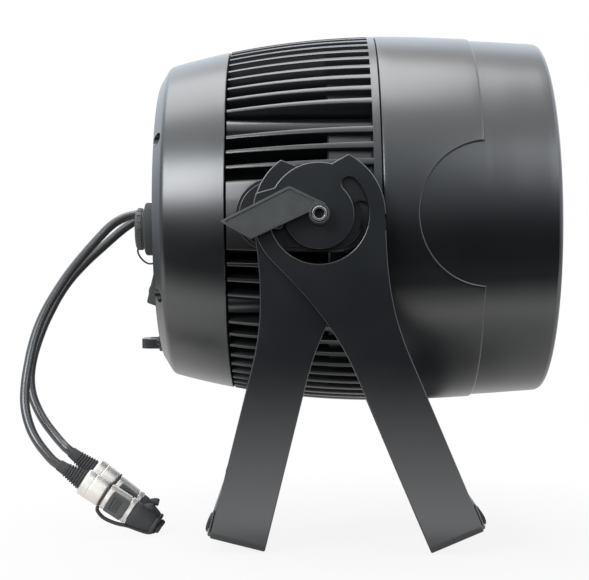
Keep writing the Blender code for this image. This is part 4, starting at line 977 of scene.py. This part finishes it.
def addYoke(label, armY, legAngle, side):
    body, turn = label + "_yoke", math.radians(legAngle)
    leg = (stand["pivot"].z / mm - yokes["halfWidth"] * math.sin(turn)) / math.cos(turn)
    place = pivotPlace @ Matrix.Rotation(-side * turn, 4, "Y")
    yoke = addPiece(label + "Yoke", yokeMesh(armY, leg, side), "plate", None, place=place, smooth=0)
    foot, inner, outer = -leg, yokes["lipInner"], yokes["lipInner"] + yokes["lipThick"]
    lip = [(15.5, foot), (outer - 1, foot), (outer - 0.3, foot + 0.3), (outer, foot + 1),
           (outer, foot + yokes["lipHeight"]), (inner, foot + yokes["lipHeight"]), (inner, foot + 3), (15.5, foot + 3)]
    reach = armY - 6
    cutWith(yoke, slabMesh([(side * x, z) for x, z in lip], -reach, reach), "UNION")
    cutWith(yoke, slabMesh(around(48, yokes["clampHole"]), foot - 5, foot + 8, plane="XY"))
    smoothFaces(yoke.data)
    softenEdges(yoke, 0.85 * mm, 4, 40).use_clamp_overlap = False
    fit(yoke, body, body)
    near = outer + 0.3
    pad = easeCorners([(near, foot + 1.5), (near + 1.7, foot + 3.6), (near + 1.9, foot + 7),
                       (near + 1, foot + 12), (near, foot + 12.8)], 0.8)
    for sign, where in ((-1, "right"), (1, "left")):
        bumper = slabMesh([(side * x, z) for x, z in pad], sign * (reach - 16), sign * (reach - 2))
        addPiece("%sBumper_%s" % (label, where), bumper, "rubber", body, "%s_bumper_%s" % (label, where), place,
                 bevel=0.4 * mm)


addYoke("rear", yokes["rearArm"], stand["rearLeg"], -1)
addYoke("front", yokes["frontArm"], stand["frontLeg"], 1)
print("yokes bent")


# Clamp levers

lever = {
    "paddle": [(-61.9, -5), (-18.6, 17), (4.6, 5.9), (-42.6, -16)],
    "recess": [(-58.9, -5.1), (-18.6, 15.3), (-2.6, 7.6), (-6.6, 2.2), (-42.4, -14.2)],
    "inner": 145.5, "outer": 152.5, "recessFloor": 151.8,
}


def addLever(label, side):
    body = "clamp_lever_" + label
    blade = slabMesh(easeCorners(lever["paddle"], 1.4, steps=6), side * lever["inner"], side * lever["outer"])
    paddle = addPiece("clampLever_" + label, blade, "nylon", None, place=pivotPlace, smooth=0, bevel=0.45 * mm)
    hub = [(141.5, 0), (141.5, 7), (149, 6.3), (152.6, 6.1), (152.6, 0)]
    cutWith(paddle, acrossMesh(hub, side, 56, 0.3), "UNION")
    paddle.modifiers.clear()        # the soft edges are in the mesh now
    cutWith(paddle, slabMesh(easeCorners(lever["recess"], 1.2, steps=5), side * lever["recessFloor"], side * 154))
    bore = [(140, 0), (140, 5.3), (146.4, 5.3), (146.4, 3.3), (148, 3.3), (148, 5.3), (155, 5.3), (155, 0)]
    cutWith(paddle, acrossMesh(bore, side))
    smoothFaces(paddle.data)
    fit(paddle, body, body)
    screw = [(146.3, 0), (146.3, 3), (148.3, 3), (148.3, 4.9), (152.8, 4.9), (153.6, 4.3), (153.6, 3.5),
             (153, 3), (148.9, 2.9), (148.9, 0)]
    addPiece("leverScrew_" + label, acrossMesh(screw, side, soft=0.2), "zinc", body, "lever_screw_" + label,
             pivotPlace, 40)
    socket = [(148.8, 0), (148.8, 2.6), (149.2, 2.6), (149.2, 0)]
    addPiece("leverSocket_" + label, acrossMesh(socket, side, 24), "oxide", body, place=pivotPlace)


addLever("right", -1)
addLever("left", 1)
print("clamp levers made")


# CAD pieces that keep their own shape

keptFinish = {
    "led_board": "board", "control_board": "board", "power_supply": "supply", "cover_gasket": "rubber",
    "glass_gasket": "rubber",
}
for label in ("_right", "_left"):
    # The tilt stop pins take the black plate paint as painted shade, so they sink into the dark slot under the lever
    keptFinish.update({"pivot_bolt" + label: "zinc", "tilt_stop_pin" + label: "plate",
                       "friction_washer" + label: "washer", "spacer_washer" + label: "oxide"})

for nodeName, kind in keptFinish.items():
    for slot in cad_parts[nodeName].material_slots:
        slot.material = finish[kind]
print("kept pieces painted:", len(keptFinish))


# Studio: a pale table, soft boxes above and to the sides, and the dark room in front of the table

studio = {
    "table": (0.75, -0.31, 0.75),       # half its width, its front and its back, in metres
    "tableCorner": 60, "tableLevels": (-12.4, -0.4), "tableColour": "D2D2D0",
    "roomRadius": 2.4, "roomLow": -2.3, "roomHigh": 3, "roomColour": (0.87, 0.95, 1.04, 1), "sky": 0.22,
    "lampColour": (0.95, 0.97, 1),
    # Painted shade: the paper's glow is dimmed near the lamp in place of its shadow, more where the satin paint mirrors
    # it, and faintly to the eye.
    "paintedShadeAt": (0.03, -0.14, 0),
    "paintedShades": ((0.12, 0.30, 0.08), (0.1, 0.35, 0.88)),      # begins and ends, in metres, and what is left there
    "grey": (0.02, 0.27, 0.27),         # begins and is full, in room radii, and its strength all round
    "ceiling": (0.35, 0.55),            # begins, in room radii, and its strength at the top
    "walls": (           # axis, where it begins and ends, strength, foot and head; in room radii
        ("X", 0.80, 0.92, 1.3, -0.25, -0.05),
        ("X", -0.72, -0.90, 0.45, -0.25, -0.05),
        ("Y", 0.2, 0.6, 1.5, 0.02, 0.35),
    ),
    "card": ((-220, 220), (1, 118), (-181, -180)),
    "cardGlow": (1.4, 0.116),       # strength at the floor, and the height in metres where it ends
    "softBoxes": (       # size, place, brightness
        ("topSoftBox", (1, 1.4), (-0.26, 0.09, 1.6), 3.5),
        ("leftSoftBox", (0.85, 0.72), (-1.04, -1.28, 0.92), 9),
        ("rightSoftBox", (1.1, 0.95), (1.06, -1.32, 1.22), 2.2),
    ),
}


def addStagePiece(name, mesh, material, seen=False):
    piece = addPiece(name, mesh, material, None, place=asDrawn, smooth=0)
    piece.visible_camera = piece.visible_diffuse = piece.visible_shadow = seen


def addTable():
    half, front, back = (v / mm for v in studio["table"])
    corners = [(-half, front), (half, front), (half, back), (-half, back)]
    outline = easeCorners(corners, studio["tableCorner"], steps=8)
    material, tree, shader, place = startMaterial("paleTablePaper", {
        "Base Color": linear(studio["tableColour"]), "Roughness": 0.9, "Specular IOR Level": 0.2})
    ray = addNode(tree, "LightPath").outputs
    distance = addNode(tree, "VectorMath", {1: studio["paintedShadeAt"]}, {0: place},
                       operation="DISTANCE").outputs["Value"]
    # Painted shade on the paper, darker nearer the lamp: one map for what the paint mirrors, one for the eye
    paintedShadeInGloss, paper = [addNode(tree, "MapRange", {"From Min": begin, "From Max": end, "To Min": left, "To Max": 1},
                              {"Value": distance}) for begin, end, left in studio["paintedShades"]]
    glossy = addNode(tree, "Math", None, {0: ray["Is Glossy Ray"], 1: ray["Is Transmission Ray"]},
                     operation="MAXIMUM")
    mirrored = addNode(tree, "Math", None, {0: glossy, 1: paintedShadeInGloss}, operation="MULTIPLY")
    share = addNode(tree, "Math", None, {0: ray["Is Camera Ray"], 1: paper, 2: mirrored}, operation="MULTIPLY_ADD")
    glow = addNode(tree, "Emission", {"Color": (1, 1, 1, 1), "Strength": 1})
    mix = addNode(tree, "MixShader", None, {0: share, 1: shader, 2: glow})
    linkInto(tree, tree.nodes["Material Output"], {"Surface": mix})
    addStagePiece("studioTable", slabMesh(outline, *studio["tableLevels"], plane="XY"), material, seen=True)


def glowOnly(tree, colour, strength):
    glow = addNode(tree, "Emission", {"Color": colour}, {"Strength": strength})
    linkInto(tree, tree.nodes["Material Output"], {"Surface": glow})


def addDarkRoom():
    # The room beyond the table, dark below and greyer above, seen only in reflections: the paint's dark band.
    radius, high = studio["roomRadius"], studio["roomHigh"]
    bm = bmesh.new()
    low, top = [[bm.verts.new((x, y, z)) for x, y in around(96, radius)] for z in (studio["roomLow"], high)]
    bridge(bm, low, top)
    material, tree, _, place = startMaterial("darkRoomCloth")
    at = addNode(tree, "SeparateXYZ", None, {"Vector": place}).outputs
    first, last, strength = studio["grey"]
    grey = addNode(tree, "MapRange", {"From Min": first * radius, "From Max": last * radius, "To Max": strength},
                   {"Value": at["Z"]}, interpolation_type="SMOOTHSTEP")
    first, strength = studio["ceiling"]
    ceiling = addNode(tree, "MapRange", {"From Min": first * radius, "From Max": high, "To Max": strength},
                      {"Value": at["Z"]})
    total = addNode(tree, "Math", None, {0: grey, 1: ceiling}, operation="ADD")
    # Pale walls to the right, left and behind; each begins at a height of its own
    for axis, first, last, strength, foot, head in studio["walls"]:
        level = addNode(tree, "MapRange", {"From Min": foot * radius, "From Max": head * radius}, {"Value": at["Z"]})
        wall = addNode(tree, "MapRange", {"From Min": first * radius, "From Max": last * radius, "To Max": strength},
                       {"Value": at[axis]})
        total = addNode(tree, "Math", None, {0: wall, 1: level, 2: total}, operation="MULTIPLY_ADD")
    glowOnly(tree, studio["roomColour"], total)
    addStagePiece("studioRoom", closeMesh(bm), material)


def addFillCard():
    # A low white card in front of the feet, seen only in reflections: it greys the lower legs.
    (left, right), (low, high), (front, back) = studio["card"]
    strength, top = studio["cardGlow"]
    material, tree, _, place = startMaterial("litWhiteCard")
    at = addNode(tree, "SeparateXYZ", None, {"Vector": place}).outputs
    fade = addNode(tree, "MapRange", {"From Max": top, "To Min": strength, "To Max": 0}, {"Value": at["Z"]})
    glowOnly(tree, (1, 1, 1, 1), fade)
    addStagePiece("fillCard", blockMesh((left, front, low), (right, back, high)), material)


def addSoftBox(name, size, place, brightness):
    light = bpy.data.lights.new(name, "AREA")
    light.shape = "RECTANGLE"
    light.size, light.size_y = size
    light.color = studio["lampColour"]
    light.energy = brightness * math.pi * size[0] * size[1]
    lamp = bpy.data.objects.new(name, light)
    bpy.context.scene.collection.objects.link(lamp)
    lamp.location = place
    lamp.rotation_euler = (Vector((0, 0, 0.2)) - Vector(place)).to_track_quat("-Z", "Y").to_euler()
    lamp.visible_camera = False


def addSky():
    world = bpy.data.worlds.new("studioSky")
    bpy.context.scene.world = world
    world.use_nodes = True
    tree = world.node_tree
    background = tree.nodes["Background"]
    ray = addNode(tree, "LightPath").outputs
    seen = addNode(tree, "Math", None, {0: ray["Is Camera Ray"], 1: ray["Is Glossy Ray"]},
                   operation="MAXIMUM")
    clear = addNode(tree, "Math", None, {0: seen, 1: ray["Is Transmission Ray"]}, operation="MAXIMUM")
    strength = addNode(tree, "MapRange", {"To Min": studio["sky"]}, {"Value": clear})
    background.inputs["Color"].default_value = (1, 1, 1, 1)
    linkInto(tree, background, {"Strength": strength})


addTable()
addDarkRoom()
addFillCard()
for box in studio["softBoxes"]:
    addSoftBox(*box)
addSky()
bpy.context.scene.view_settings.view_transform = "Standard"
print("studio lit")
